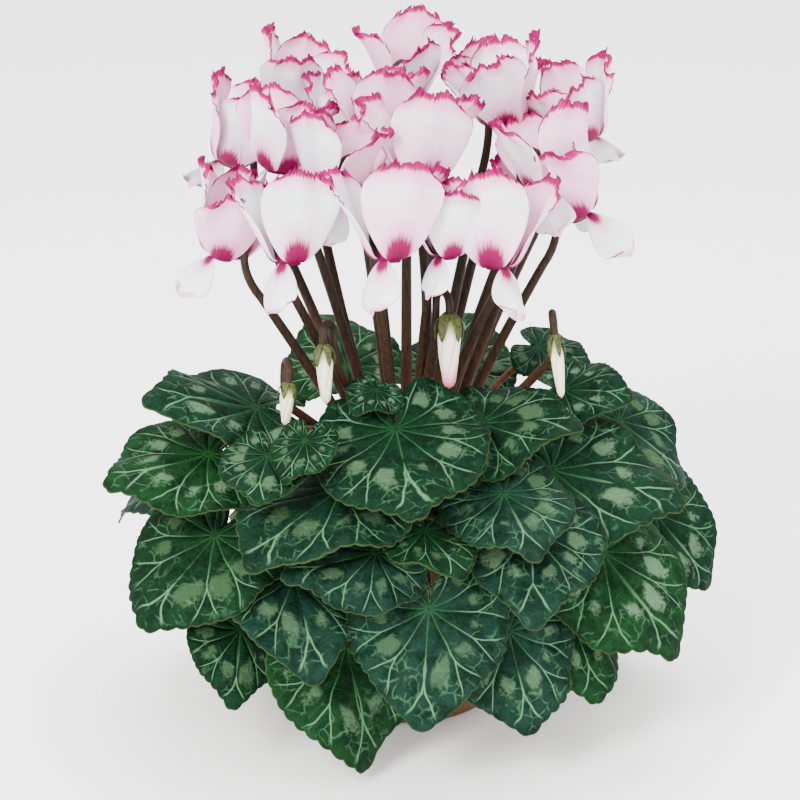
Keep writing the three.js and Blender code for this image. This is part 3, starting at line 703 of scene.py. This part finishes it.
def coarse_blade(size, phase, teeth):
    """The points of a blade's solid, along, across and out of it."""
    inner = np.arange(teeth) * 2 * math.pi / teeth
    outer = np.arange(2 * teeth) * math.pi / teeth
    angle = np.concatenate(([0.0], inner, outer))
    angle = np.where(angle > math.pi, angle - 2 * math.pi, angle)
    share = np.concatenate(([0.0], np.full(teeth, SOLID_RING), np.ones(2 * teeth)))
    tooth = np.concatenate((np.zeros(teeth + 1), np.tile([TOOTH_DEPTH, -TOOTH_DEPTH], teeth)))
    reach = edge_reach(angle) * share * (1 + tooth)
    u, v = reach * np.cos(angle), reach * np.sin(angle)
    upper = np.stack((u, v, blade_height(u, v, share, angle, phase)), axis=1) * size
    return np.concatenate((upper, upper - (0, 0, 1)))


def settled_blade(number, root, tip, roll, teeth):
    """Axes and place at which the blade's solid came to lie."""
    size, along, across, out = blade_axes(root, tip, roll)
    points = coarse_blade(size, number, teeth)
    node = f"leaf_{number + 1:02d}"
    best = None
    for pitch in BLADE_PITCHES:
        for lean in BLADE_LEANS:
            axes = tilted(along, across, out, pitch, lean)
            error, shift = misfit(points @ np.array(axes) + root, node)
            error += (shift - axes[2] * shift.dot(axes[2])).length
            if best is None or error < best[0] - 1e-6:
                best = (error, axes, Vector(root) + axes[2] * shift.dot(axes[2]))
    return size, best[1], best[2]


def vein_ridge(share, turn):
    """0 on a vein and 1 well between two, with the veins where the finish draws them."""
    cell = np.abs((turn * VEINS * (VEIN_SPREAD - VEIN_DRAW * share) + 0.5) % 1 - 0.5)
    away = np.abs(cell - np.maximum((share - FORK) * FORK_WIDTH, 0)) * share
    return np.clip(away / 0.14, 0, 1)


def flat_blade():
    """A flat disc of rings and spokes, and each corner's share of the reach and angle."""
    bm = bmesh.new()
    spoke = [bm.verts.new((ring / RINGS, 0, 0)) for ring in range(RINGS + 1)]
    edges = [bm.edges.new(pair) for pair in zip(spoke, spoke[1:])]
    turn_round(bm, spoke + edges, SPOKES)
    bmesh.ops.remove_doubles(bm, verts=bm.verts, dist=1e-5)
    flat = np.array([vert.co for vert in bm.verts])
    share = np.minimum(np.hypot(flat[:, 0], flat[:, 1]) ** RING_EASE, 1)
    return bm, share, np.arctan2(flat[:, 1], flat[:, 0])


def mark_blade(bm, share, angle, own):
    """The blade's maps: share and turn of each corner, and its own tone."""
    marks = bm.loops.layers.uv.new("marks")
    tone = bm.loops.layers.uv.new("tone")
    for face in bm.faces:
        turns = [abs(angle[loop.vert.index]) / math.pi for loop in face.loops]
        outer = [turn for loop, turn in zip(face.loops, turns) if share[loop.vert.index] > 1e-6]
        for loop, turn in zip(face.loops, turns):
            at = share[loop.vert.index]
            loop[marks].uv = (at, turn if at > 1e-6 else sum(outer) / len(outer))
            loop[tone].uv = own


def fine_blade(size, number, share, angle):
    """The points of the fine blade, along, across and out of it."""
    teeth_wave = np.abs(np.sin(TEETH * angle / 2)) * (0.8 + 0.35 * np.sin(3 * angle + number))
    tooth = FINE_TOOTH * (teeth_wave - 0.6) * np.clip((share - 0.84) / 0.16, 0, 1)
    lobe = BROAD_LOBE * np.sin(5 * angle + 1.3 * number) + SMALL_LOBE * np.sin(9 * angle + 2.1 * number)
    point = TIP_POINT * share ** 2 * np.exp(-(angle / TIP_WIDTH) ** 2)
    reach = soft_reach(angle) * share * (1 + tooth + share ** 2 * lobe + point)
    u, v = reach * np.cos(angle), reach * np.sin(angle)
    height = blade_height(u, v, share, angle, number)
    fold = BROAD_FOLD * np.sin(4 * angle + 1.7 * number)
    fold += SMALL_FOLD * share * np.sin(9 * angle + 2.3 * number)
    height += share ** 2 * fold
    pillow = PILLOW * (vein_ridge(share, np.abs(angle) / math.pi) - 0.5)
    height += pillow * np.clip(share * 4, 0, 1) * (1 - 0.7 * share ** 4)
    return np.stack((u, v, height), axis=1) * size


def make_leaf(number, root, tip, roll, teeth, finishes):
    size, axes, place = settled_blade(number, root, tip, roll, teeth)
    chance = random.Random(LEAF_SEED + number)
    bm, share, angle = flat_blade()
    mark_blade(bm, share, angle, (chance.random(), chance.random()))
    world = fine_blade(size, number, share, angle) @ np.array(axes) + np.array(place)
    for vert, co in zip(bm.verts, world):
        vert.co = co
    bm.normal_update()
    if sum((face.normal for face in bm.faces), Vector()).dot(axes[2]) < 0:
        bmesh.ops.reverse_faces(bm, faces=bm.faces)
    name = f"leaf_{number + 1:02d}"
    piece = finished(f"{name}_blade", bm, finishes, [name])
    thicken(piece, BLADE_THICKNESS, 1)
    return axes, place


# Blooms

def bloom_axes(facing, nod, hand):
    level = Vector((math.sin(math.radians(facing)), -math.cos(math.radians(facing)), 0))
    tilt = math.radians(nod)
    up = Vector((0, 0, math.cos(tilt))) - level * math.sin(tilt)
    front = Vector((0, 0, math.sin(tilt))) + level * math.cos(tilt)
    return up, front, up.cross(front) * hand


def petal_line(sweep, length):
    line = [(PETAL_ROOT, 0.0, math.radians(PETAL_START))]
    for i in range(1, PETAL_STEPS + 1):
        share = (i - 0.5) / PETAL_STEPS
        opening = (PETAL_START - sweep) * math.exp(-share / PETAL_BEND)
        slope = math.radians(sweep + opening - math.copysign(PETAL_FLARE, sweep) * share ** 2)
        reach, height, _ = line[-1]
        step = length / PETAL_STEPS
        line.append((reach + step * math.cos(slope), height + step * math.sin(slope), slope))
    return np.array(line)


def petal_half_width(share, width, fullness, taper):
    swell = np.sin(math.pi / 2 * np.minimum(share, PETAL_WIDEST) / PETAL_WIDEST) ** fullness
    rising = width * (PETAL_NECK + (0.5 - PETAL_NECK) * swell)
    beyond = np.maximum(share - PETAL_WIDEST, 0) / (1 - PETAL_WIDEST)
    falling = width * 0.5 * (1 - taper * beyond ** 2)
    return np.where(share < PETAL_WIDEST, rising, falling)


def petal_points(size, petal, share, side, phase, width_share, fullness=1.3, taper=0.3, ruffle_more=0.0):
    """Points of a petal, to the front, across and up from the middle of the mouth."""
    azimuth, sweep, length_share, width_part = petal
    hand = math.copysign(1, sweep)
    line = petal_line(sweep, size * length_share)
    width = size * width_share * width_part
    along = np.clip(share * (1 - 0.14 * side * side * share), 0, 1) * PETAL_STEPS
    steps = np.arange(PETAL_STEPS + 1)
    reach, height, slope = (np.interp(along, steps, line[:, k]) for k in range(3))
    turn = math.radians(azimuth)
    out = np.array((math.cos(turn), math.sin(turn), 0))
    level = np.array((-math.sin(turn), math.cos(turn), 0))
    up = np.array((0, 0, 1))
    face = np.outer(np.sin(slope), out) - np.outer(np.cos(slope), up)
    twist = np.radians(PETAL_TWIST * share * hand)[:, None]
    across = level * np.cos(twist) + face * np.sin(twist)
    normal = face * np.cos(twist) - level * np.sin(twist)
    half = petal_half_width(share, width, fullness, taper)
    ruffle = 0.05 * width * share ** 3 * np.sin(7 * side + phase) + ruffle_more
    lift = ruffle - PETAL_CUP * half * side * side * hand
    return (np.outer(reach, out) + np.outer(height, up)
            + across * (half * side)[:, None] + normal * np.asarray(lift)[:, None])


def coarse_bloom(size, number):
    """Points of a bloom's solid that lie well out from its tube."""
    points = []
    for i, petal in enumerate(PETALS):
        for share, count in UPRIGHT_ROWS if petal[1] > 0 else HANGING_ROWS:
            side = np.linspace(-1, 1, count)
            notch = np.where((count == 5) & (np.arange(count) % 2 == 1), SOLID_NOTCH, 0.0)
            points.append(petal_points(size, petal, share - notch, side, number + 2 * i, PETAL_WIDTH))
    return np.concatenate(points)


def tree_of(node):
    """A solid in millimetres, to look up places on."""
    mesh = nodes[node].data
    corners = [vert.co / MM for vert in mesh.vertices]
    return BVHTree.FromPolygons(corners, [tuple(face.vertices) for face in mesh.polygons])


bloom_trees = {
    name: (tree_of(name), *(np.array(corner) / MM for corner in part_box(name)))
    for name in sorted(nodes.keys()) if name.startswith("bloom_")
}


def settled_bloom(number, mouth, facing, nod, size, hand):
    """Axes and place at which a bloom's solid stands, and the node that it belongs to."""
    local = coarse_bloom(size, number)
    best = None
    for spin in BLOOM_SPINS:
        up, front, across = bloom_axes(facing + spin, nod, hand)
        for lift in BLOOM_LIFTS:
            place = Vector(mouth) + up * lift
            points = local @ np.array((front, across, up)) + np.array(place)
            for name, (tree, low, high) in bloom_trees.items():
                if (points.min(axis=0) < low - 1).any() or (points.max(axis=0) > high + 1).any():
                    continue
                error = sum(tree.find_nearest(point)[3] for point in points) / len(points)
                if best is None or error < best[0]:
                    best = (error, (front, across, up), place, name)
    return best[1:]


def frilled_petal(size, petal, phase, chance, side, share):
    """Points of a petal with a ragged, frilled edge."""
    columns, rows, frill, taper, _ = UPRIGHT if petal[1] > 0 else HANGING
    column = np.rint((side + 1) / 2 * columns).astype(int)
    spreads = [(-1, 1) if k % 2 else (0.1, 1.2) for k in range(columns + 1)]
    ragged = np.array([chance.uniform(*spread) for spread in spreads])
    curled = np.array([chance.uniform(-1, 1) for _ in range(columns + 1)])
    near = np.clip((share - 0.86) / 0.14, 0, 1)
    shoulder = frill * np.clip((np.abs(side) - 0.86) / 0.14, 0, 1) * np.clip((share - 0.6) / 0.3, 0, 1)
    row = np.rint(share * rows).astype(int)
    notch = np.where(row % 2 == 0, 1.0, -0.6)
    lobes = np.sin(side * 6 + phase * 2.3) * 0.5 + np.sin(side * 11 + phase * 1.1) * 0.3
    frilled = share + near * frill * (FRINGE * ragged[column] + FRINGE_LOBE * lobes)
    widened = side * (1 + 0.025 * shoulder * notch)
    wave = PETAL_WAVE * size * np.sin(side * 4 + phase * 1.7 + share * 2) * np.clip(share * 2 - 0.5, 0, 1)
    lay = PETAL_LAY[PETALS.index(petal)] * (1 + side * side) * np.clip(share * 4, 0, 1)
    frilling = FRINGE * near * curled[column] + FRINGE_CURL * near * lobes + SIDE_CRIMP * shoulder * notch
    curl = size * frill * frilling + wave + lay
    points = petal_points(
        size, petal, np.clip(frilled, 0, None), widened, phase, PETAL_BREADTH, 0.8, taper, curl)
    beyond = np.maximum(frilled - 1, 0) * size * petal[2]
    return points + np.outer(beyond, (0, 0, math.copysign(1, petal[1])))


def add_petal(bm, size, petal, phase, chance, axes, place, layers, own):
    columns, rows = (UPRIGHT if petal[1] > 0 else HANGING)[:2]
    made = bmesh.ops.create_grid(bm, x_segments=columns, y_segments=rows, size=0.5)["verts"]
    flat = np.array([vert.co for vert in made])
    side, share = flat[:, 0] * 2, flat[:, 1] + 0.5
    fresh = set(made)
    faces = [face for face in bm.faces if face.verts[0] in fresh]
    bm.verts.index_update()
    first = made[0].index
    for face in faces:
        for loop in face.loops:
            i = loop.vert.index - first
            loop[layers[0]].uv = (side[i] / 2 + 0.5, share[i] if petal[1] > 0 else 0.1 + 0.8 * share[i])
            loop[layers[1]].uv = own
    points = frilled_petal(size, petal, phase, chance, side, share)
    for vert, co in zip(made, points @ np.array(axes) + np.array(place)):
        vert.co = co


def add_tube(bm, axes, place, layers, own):
    """The short tube that the petals stand on."""
    tube = spun(TUBE_PROFILE, 28)
    stand(tube, axes[0], axes[2], place)
    mesh = bpy.data.meshes.new("tube")
    tube.to_mesh(mesh)
    tube.free()
    before = len(bm.faces)
    bm.from_mesh(mesh)
    bpy.data.meshes.remove(mesh)
    bm.faces.ensure_lookup_table()
    for face in bm.faces[before:]:
        for loop in face.loops:
            height = (loop.vert.co - place).dot(axes[2])
            loop[layers[0]].uv = (0.5, max(0.0, 0.04 + 0.05 * height))
            loop[layers[1]].uv = own


def make_bloom(number, mouth, facing, nod, size, hand, finish):
    axes, place, node = settled_bloom(number, mouth, facing, nod, size, hand)
    chance = random.Random(BLOOM_SEED + number)
    bm = bmesh.new()
    layers = (bm.loops.layers.uv.new("marks"), bm.loops.layers.uv.new("tone"))
    own = (chance.random(), chance.random())
    for i, petal in enumerate(PETALS):
        *_, blush = UPRIGHT if petal[1] > 0 else HANGING
        flush = chance.random() * blush
        add_petal(bm, size, petal, number + 2 * i, chance, axes, place, layers, (own[0], flush))
    add_tube(bm, axes, place, layers, own)
    thicken(finished(f"flower_{number + 1:02d}", bm, [finish], [node]), PETAL_THICKNESS)
    return axes, place


def hook_points(axes, place):
    """Points of the hook that a bloom or bud hangs from, from below to its seat."""
    front, across, up = axes
    seat = place + up * HOOK_SEAT
    turn = math.radians(HOOK_AZIMUTH)
    beside = front * math.cos(turn) + across * math.sin(turn)
    points = [seat + beside * 2 * HOOK_TURN - up * (HOOK_SEAT + HOOK_DROP)]
    for degrees in HOOK_BENDS:
        bend = math.radians(degrees)
        height = HOOK_RISE + HOOK_TURN * math.sin(bend)
        points.append(seat + beside * HOOK_TURN * (1 + math.cos(bend)) + up * height)
    points.append(seat)
    return points


# Stalks

stalk_tree = tree_of("corm_and_stalks")


def is_inside(point):
    found, normal, _, _ = stalk_tree.find_nearest(point)
    return (point - found).dot(normal) < 0


# The straightest first
ROUTES = sorted(
    ((sway, bow, rise) for sway in SWAYS for bow in BOWS for rise in RISES),
    key=lambda route: abs(route[0]) + abs(route[1]) + 0.01 * abs(route[2]))


def bezier(points, count):
    shares = np.linspace(0, 1, count)
    degree = len(points) - 1
    return [
        sum((point * (math.comb(degree, i) * t ** i * (1 - t) ** (degree - i))
             for i, point in enumerate(points)), Vector())
        for t in shares]


def even(points, count):
    """The same line with points at even distances."""
    places = np.array(points)
    lengths = np.concatenate(([0], np.cumsum(np.linalg.norm(np.diff(places, axis=0), axis=1))))
    at = np.linspace(0, lengths[-1], count)
    return [Vector([np.interp(value, lengths, places[:, k]) for k in range(3)]) for value in at]


def foot(place, radius):
    """Foot of a stalk, sunk in the corm's crown."""
    crown = CORM_MIDDLE + CORM_HEIGHT / 2 * math.sqrt(1 - (radius / CORM_RADIUS) ** 2)
    return Vector((place.x, place.y, 0)).normalized() * radius + Vector((0, 0, crown - FOOT_DEPTH))


def petiole_line(axes, root, route):
    sway, bow, rise = route
    along, _, out = axes
    steep = math.sqrt(1 - out.z ** 2)
    arrival = (out + along * NECK_LEAN * steep).normalized()
    seat = GAP + NECK_SINK + PETIOLE_RADIUS * math.sqrt(1 - arrival.dot(out) ** 2) + 1
    end = root - out * seat
    start = foot(end, PETIOLE_FOOT)
    reach = math.hypot(end.x, end.y)
    level = Vector((end.x, end.y, 0)).normalized()
    side = Vector((-level.y, level.x, 0))
    drop = end.z - CROWN_HEIGHT
    height = ARCH_HEIGHT + rise + (ARCH_IF_LOW if drop < 0 else ARCH_IF_HIGH) * drop
    bend = start + level * (ARCH_PLACE + bow) * reach + side * sway * reach
    bend.z = CROWN_HEIGHT + height
    near = end - arrival * NECK_LENGTH + side * NECK_SWAY * sway * reach
    return bezier([start, bend, near, end], LINE_POINTS)


def scape_line(top, rising, route):
    sway, bow, rise = route
    reach = math.hypot(top.x, top.y)
    start = foot(top, SCAPE_FOOT * reach)
    level = Vector((top.x, top.y, 0)).normalized()
    side = Vector((-level.y, level.x, 0))
    middle = start.lerp(top, SCAPE_BEND + 0.01 * rise)
    middle = middle + level * (bow - SCAPE_BOW) * reach + side * sway * reach
    return bezier([start, middle, top + rising * 2], LINE_POINTS)


def run_of(line_for):
    """The run of a stalk that lies inside the solid of the stalks."""
    for route in ROUTES:
        line = line_for(route)
        chords = even(even(line, CHORD_ENDS), LOOK_POINTS)
        if all(is_inside(point) for point in chords[1:-1]):
            return line
    return line_for(ROUTES[0])


def draw(curve, points, radii):
    spline = curve.splines.new("POLY")
    spline.points.add(len(points) - 1)
    for made, place, radius in zip(spline.points, points, radii):
        made.co = (*(place * MM), 1)
        made.radius = radius * MM


def stalk_curve(name):
    curve = bpy.data.curves.new(name, "CURVE")
    curve.dimensions = "3D"
    curve.bevel_depth = 1
    curve.bevel_resolution = 3
    curve.use_fill_caps = True
    return curve


def tubes(name, curve, material, replaced=()):
    carrier = in_scene("carrier", curve)
    mesh = bpy.data.meshes.new_from_object(carrier.evaluated_get(bpy.context.evaluated_depsgraph_get()))
    mesh.name = name
    bpy.data.objects.remove(carrier)
    mesh.materials.clear()
    return placed(name, mesh, [material], replaced)


def smooth_line(points, count):
    """A rounded line through points."""
    ends = [points[0] * 2 - points[1], *points, points[-1] * 2 - points[-2]]
    line = []
    for a, b, c, d in zip(ends, ends[1:], ends[2:], ends[3:]):
        for step in range(count):
            t = step / count
            square, cube = 2 * a - 5 * b + 4 * c - d, 3 * b - a - 3 * c + d
            line.append(0.5 * (2 * b + (c - a) * t + square * t * t + cube * t ** 3))
    return [*line, points[-1]]


def add_scape(curve, axes, place):
    """A flower stalk from the corm to its hook."""
    hook = hook_points(axes, place)
    rising = (hook[1] - hook[0]).normalized()
    line = run_of(lambda route: scape_line(hook[0], rising, route))
    bend = smooth_line(hook, HOOK_STEPS)
    eased = bezier([line[-HOOK_STEPS], hook[0], bend[HOOK_STEPS]], JOIN_POINTS)
    whole = line[:-HOOK_STEPS] + eased + bend[HOOK_STEPS + 1:]
    narrowing = [min(1, i / (len(line) - 1)) ** 2 for i in range(len(whole))]
    radii = [STALK_STOUT * (SCAPE_RADIUS + (HOOK_RADIUS - SCAPE_RADIUS) * share) for share in narrowing]
    draw(curve, whole, radii)


def make_petioles(blades):
    curve = stalk_curve("leaf_stalks")
    for axes, place in blades:
        line = run_of(lambda route: petiole_line(axes, place, route))
        last = len(line) - 1
        swell = [1 + PETIOLE_SWELL - PETIOLE_SWELL * i / last for i in range(len(line))]
        draw(curve, line, [PETIOLE_RADIUS * share for share in swell])
    tubes("leaf_stalks", curve, petiole_finish(), ["corm_and_stalks"])


# Sepals and buds

def add_calyx(bm, axes, place, top, radius, length, number):
    """A ring of short sepals that lie on the shoulder of a bud or bloom."""
    front, _, up = axes
    for k in range(SEPALS):
        turn = math.radians(360 / SEPALS * k + 20 * number)
        out = front * math.cos(turn) + up.cross(front) * math.sin(turn)
        level = up.cross(out)
        sepal = bmesh.ops.create_grid(bm, x_segments=4, y_segments=6, size=0.5)["verts"]
        for vert in sepal:
            side, share = vert.co.x * 2, vert.co.y + 0.5
            half = radius * 0.62 * (1 - share) ** 0.6 * (0.75 + 0.6 * share)
            spread = radius * (0.25 + 0.95 * math.sin(min(1, share * 1.5) * math.pi / 2)) + 0.25
            fall = length * share ** 1.3 + 0.35 * side * side
            vert.co = place + up * (top + 0.5 - fall) + out * spread + level * half * side


def share_of_turn(point):
    return math.atan2(point.y, point.x) / (2 * math.pi) + 0.5


def bud_profile(length, radius, top):
    """Radius and height of a closed bud, from its shoulder down to its tip."""
    depths = np.linspace(0, 1, BUD_RINGS)
    body = np.interp(depths, BUD_DEPTHS, BUD_SWELL)
    body = np.convolve(np.pad(body, 1, mode="edge"), (0.25, 0.5, 0.25), mode="valid")
    body[0] = body[-1] = 0
    return [(radius * share, top - depth * length) for share, depth in zip(body, depths)]


def make_bud(number, middle, facing, nod, length, radius, hand, finish):
    """A closed bud of petals wound round each other."""
    up, front, across = bloom_axes(facing, nod, hand)
    place = Vector(middle) + up * (length / 2 - TUBE_LENGTH)
    top = TUBE_LENGTH + GAP
    bm = spun(bud_profile(length, radius, top), 40)
    marks = bm.loops.layers.uv.new("marks")
    tone = bm.loops.layers.uv.new("tone")
    for face in bm.faces:
        middle_turn = share_of_turn(face.calc_center_median())
        for loop in face.loops:
            turn = share_of_turn(loop.vert.co)
            if loop.vert.co.xy.length < 1e-3:
                turn = middle_turn
            turn += round(middle_turn - turn)
            loop[marks].uv = (turn, (top - loop.vert.co.z) / length)
            loop[tone].uv = (1.0 if number == PINK_BUD else 0.0, 0.5)
    for vert in bm.verts:
        turn = math.atan2(vert.co.y, vert.co.x)
        share = (top - vert.co.z) / length
        fold = 1 + BUD_FOLD * abs(math.sin(2.5 * turn + 4.4 * share)) * min(1, share * 3)
        vert.co.x *= fold * BUD_SLIM
        vert.co.y *= fold * BUD_SLIM
    stand(bm, front, up, place)
    name = f"bud_{number + 1:02d}"
    finished(f"{name}_petals", bm, [finish], [name])
    return (front, across, up), place


# Corm, pot and soil

def make_corm():
    bm = bmesh.new()
    bmesh.ops.create_uvsphere(bm, u_segments=72, v_segments=40, radius=1)
    for vert in bm.verts:
        lump = 1 + CORM_LUMPS * noise.fractal(vert.co * 2.6, 1.0, 2.0, 4)
        x, y, z = vert.co
        vert.co = Vector((
            x * CORM_RADIUS * CORM_SLIM, y * CORM_RADIUS * CORM_SLIM, z * CORM_HEIGHT / 2)) * lump
        vert.co.z += CORM_MIDDLE
    finished("corm", bm, [corm_finish()], ["corm_and_stalks"])


def pot_radius(height):
    """Outer radius of the pot's wall."""
    return POT_BASE_RADIUS + (POT_MOUTH_RADIUS + POT_WALL - POT_BASE_RADIUS) * height / POT_HEIGHT


def pot_profile():
    """Radius and height round the pot's wall, from the middle of its underside to that of its inside."""
    rim_foot = POT_HEIGHT - RIM_DEPTH
    rim = pot_radius(rim_foot) + RIM_STAND_OUT
    lip = pot_radius(POT_HEIGHT) + RIM_STAND_OUT
    return [
        (0, 0),
        (POT_BASE_RADIUS - 3, 0),
        (POT_BASE_RADIUS - 1.2, 0.4),
        (POT_BASE_RADIUS, 1.6),
        (pot_radius(40), 40),
        (pot_radius(70), 70),
        (pot_radius(rim_foot - 1), rim_foot - 1),
        (rim - 0.8, rim_foot),
        (rim, rim_foot + 1),
        (lip - 0.6, POT_HEIGHT - 1.4),
        (lip - 1.6, POT_HEIGHT - 0.2),
        (POT_MOUTH_RADIUS + 1, POT_HEIGHT),
        (POT_MOUTH_RADIUS, POT_HEIGHT - 1),
        (POT_BASE_RADIUS - POT_WALL + 1.5, POT_WALL + 2),
        (POT_BASE_RADIUS - POT_WALL - 1, POT_WALL),
        (0, POT_WALL),
    ]


def drain_drill():
    """Upright rods where the pot has its drain holes."""
    bm = bmesh.new()
    for k in range(DRAIN_HOLES):
        turn = 2 * math.pi * k / DRAIN_HOLES
        where = Matrix.Translation((DRAIN_CIRCLE * math.cos(turn), DRAIN_CIRCLE * math.sin(turn), 0))
        bmesh.ops.create_cone(
            bm, cap_ends=True, segments=24, radius1=DRAIN_RADIUS, radius2=DRAIN_RADIUS, depth=20,
            matrix=where)
    return in_scene("drill", mesh_of("drill", bm))


def make_pot():
    pot = finished("plain_pot", spun(pot_profile(), 96), [pot_finish()], ["pot"])
    drill = drain_drill()
    cut = pot.modifiers.new("drain", "BOOLEAN")
    cut.operation = "DIFFERENCE"
    cut.solver = "EXACT"
    cut.object = drill
    drilled = bpy.data.meshes.new_from_object(pot.evaluated_get(bpy.context.evaluated_depsgraph_get()))
    pot.modifiers.clear()
    pot.data = drilled
    bpy.data.objects.remove(drill)
    drilled.set_sharp_from_angle(angle=math.radians(40))


def make_soil():
    radius = POT_BASE_RADIUS - POT_WALL + SOIL_FLARE
    top = [(radius * share, SOIL_TOP - SOIL_EDGE * share ** 8) for share in np.linspace(0, 1, 40)]
    base_radius = POT_BASE_RADIUS - POT_WALL - 1.5
    bm = spun([*top, (base_radius, POT_WALL + 0.6), (0, POT_WALL + 0.6)], 120)
    for vert in bm.verts:
        if vert.co.z > SOIL_TOP - 2:
            vert.co.z += SOIL_LUMPS * noise.fractal(vert.co * 0.12, 1.0, 2.0, 5)
    finished("peat", bm, [soil_finish()], ["soil"])


def scatter_crumbs():
    """Crumbs of peat on the soil, round the corm."""
    chance = random.Random(CRUMB_SEED)
    bm = bmesh.new()
    for _ in range(CRUMBS):
        reach = CORM_RADIUS + CRUMB_REACH * math.sqrt(chance.random())
        turn = chance.uniform(0, 2 * math.pi)
        size = chance.uniform(0.8, 2.4)
        where = Matrix.Translation((reach * math.cos(turn), reach * math.sin(turn), SOIL_TOP + 0.1 * size))
        wide, deep = chance.uniform(0.7, 1.3), chance.uniform(0.7, 1.3)
        shape = Matrix.Diagonal((wide, deep, chance.uniform(0.5, 0.9), 1))
        angle = chance.uniform(0, math.pi)
        spin = Matrix.Rotation(angle, 4, Vector((chance.random(), chance.random(), 0.3)))
        bmesh.ops.create_icosphere(bm, subdivisions=1, radius=size, matrix=where @ spin @ shape)
    finished("peat_crumbs", bm, [soil_finish()], smooth=False)


# Floor, light and camera

def make_floor():
    bm = bmesh.new()
    bmesh.ops.create_grid(bm, x_segments=1, y_segments=1, size=FLOOR_SIZE)
    bmesh.ops.translate(bm, vec=(0, 0, -FLOOR_DROP), verts=bm.verts)
    floor = in_scene("floor", mesh_of("floor", bm))
    floor.data.materials.append(plain_finish("pale_floor", (0.97, 0.97, 0.97, 1), 0.9))


def lamp(name, place, aim, power, width):
    light = bpy.data.lights.new(name, "AREA")
    light.energy = power
    light.size = width
    made = in_scene(name, light)
    made.location = place
    made.rotation_euler = (Vector(aim) - Vector(place)).to_track_quat("-Z", "Y").to_euler()


def light_studio():
    lamp("key", (-0.9, -1.6, 1.5), aim=(0, 0, 0.18), power=95, width=0.8)
    lamp("fill", (1.5, -1.2, 0.9), aim=(0, 0, 0.15), power=22, width=1.4)
    lamp("top", (0.1, 0.4, 1.8), aim=(0, 0, 0.15), power=48, width=1.2)
    world = bpy.data.worlds.new("studio")
    bpy.context.scene.world = world
    world.use_nodes = True
    background = world.node_tree.nodes["Background"]
    background.inputs["Color"].default_value = (1, 1, 1, 1)
    background.inputs["Strength"].default_value = 2.5


def place_camera():
    camera = in_scene("camera", bpy.data.cameras.new("camera"))
    camera.data.lens = CAMERA_LENS
    aim = Vector(CAMERA_AIM)
    rise = math.radians(CAMERA_ELEVATION)
    camera.location = aim + Vector((0, -math.cos(rise), math.sin(rise))) * CAMERA_DISTANCE
    camera.rotation_euler = (aim - camera.location).to_track_quat("-Z", "Y").to_euler()
    bpy.context.scene.camera = camera


# Put together

leaf_finishes = [leaf_top_finish(), leaf_under_finish()]
blades = [make_leaf(number, *row, leaf_finishes) for number, row in enumerate(LEAVES)]
petals = petal_finish()
blooms = [make_bloom(number, *row, petals) for number, row in enumerate(BLOOMS)]

scapes = stalk_curve("flower_stalks")
calyces = bmesh.new()
for number, (axes, place) in enumerate(blooms):
    add_scape(scapes, axes, place)
    add_calyx(calyces, axes, place, CALYX_TOP, CALYX_RADIUS, CALYX_LENGTH, number)
wound_petals = bud_finish()
for number, row in enumerate(BUDS):
    axes, place = make_bud(number, *row, wound_petals)
    add_scape(scapes, axes, place)
    length, radius = row[3:5]
    add_calyx(calyces, axes, place, TUBE_LENGTH + GAP,
              radius * BUD_CALYX_RADIUS, length * BUD_CALYX_LENGTH, number)
thicken(finished("calyces", calyces, [calyx_finish()]), SEPAL_THICKNESS)
tubes("flower_stalks", scapes, stalk_finish(), ["corm_and_stalks"])
make_petioles(blades)

make_corm()
make_pot()
make_soil()
scatter_crumbs()
make_floor()
light_studio()
place_camera()
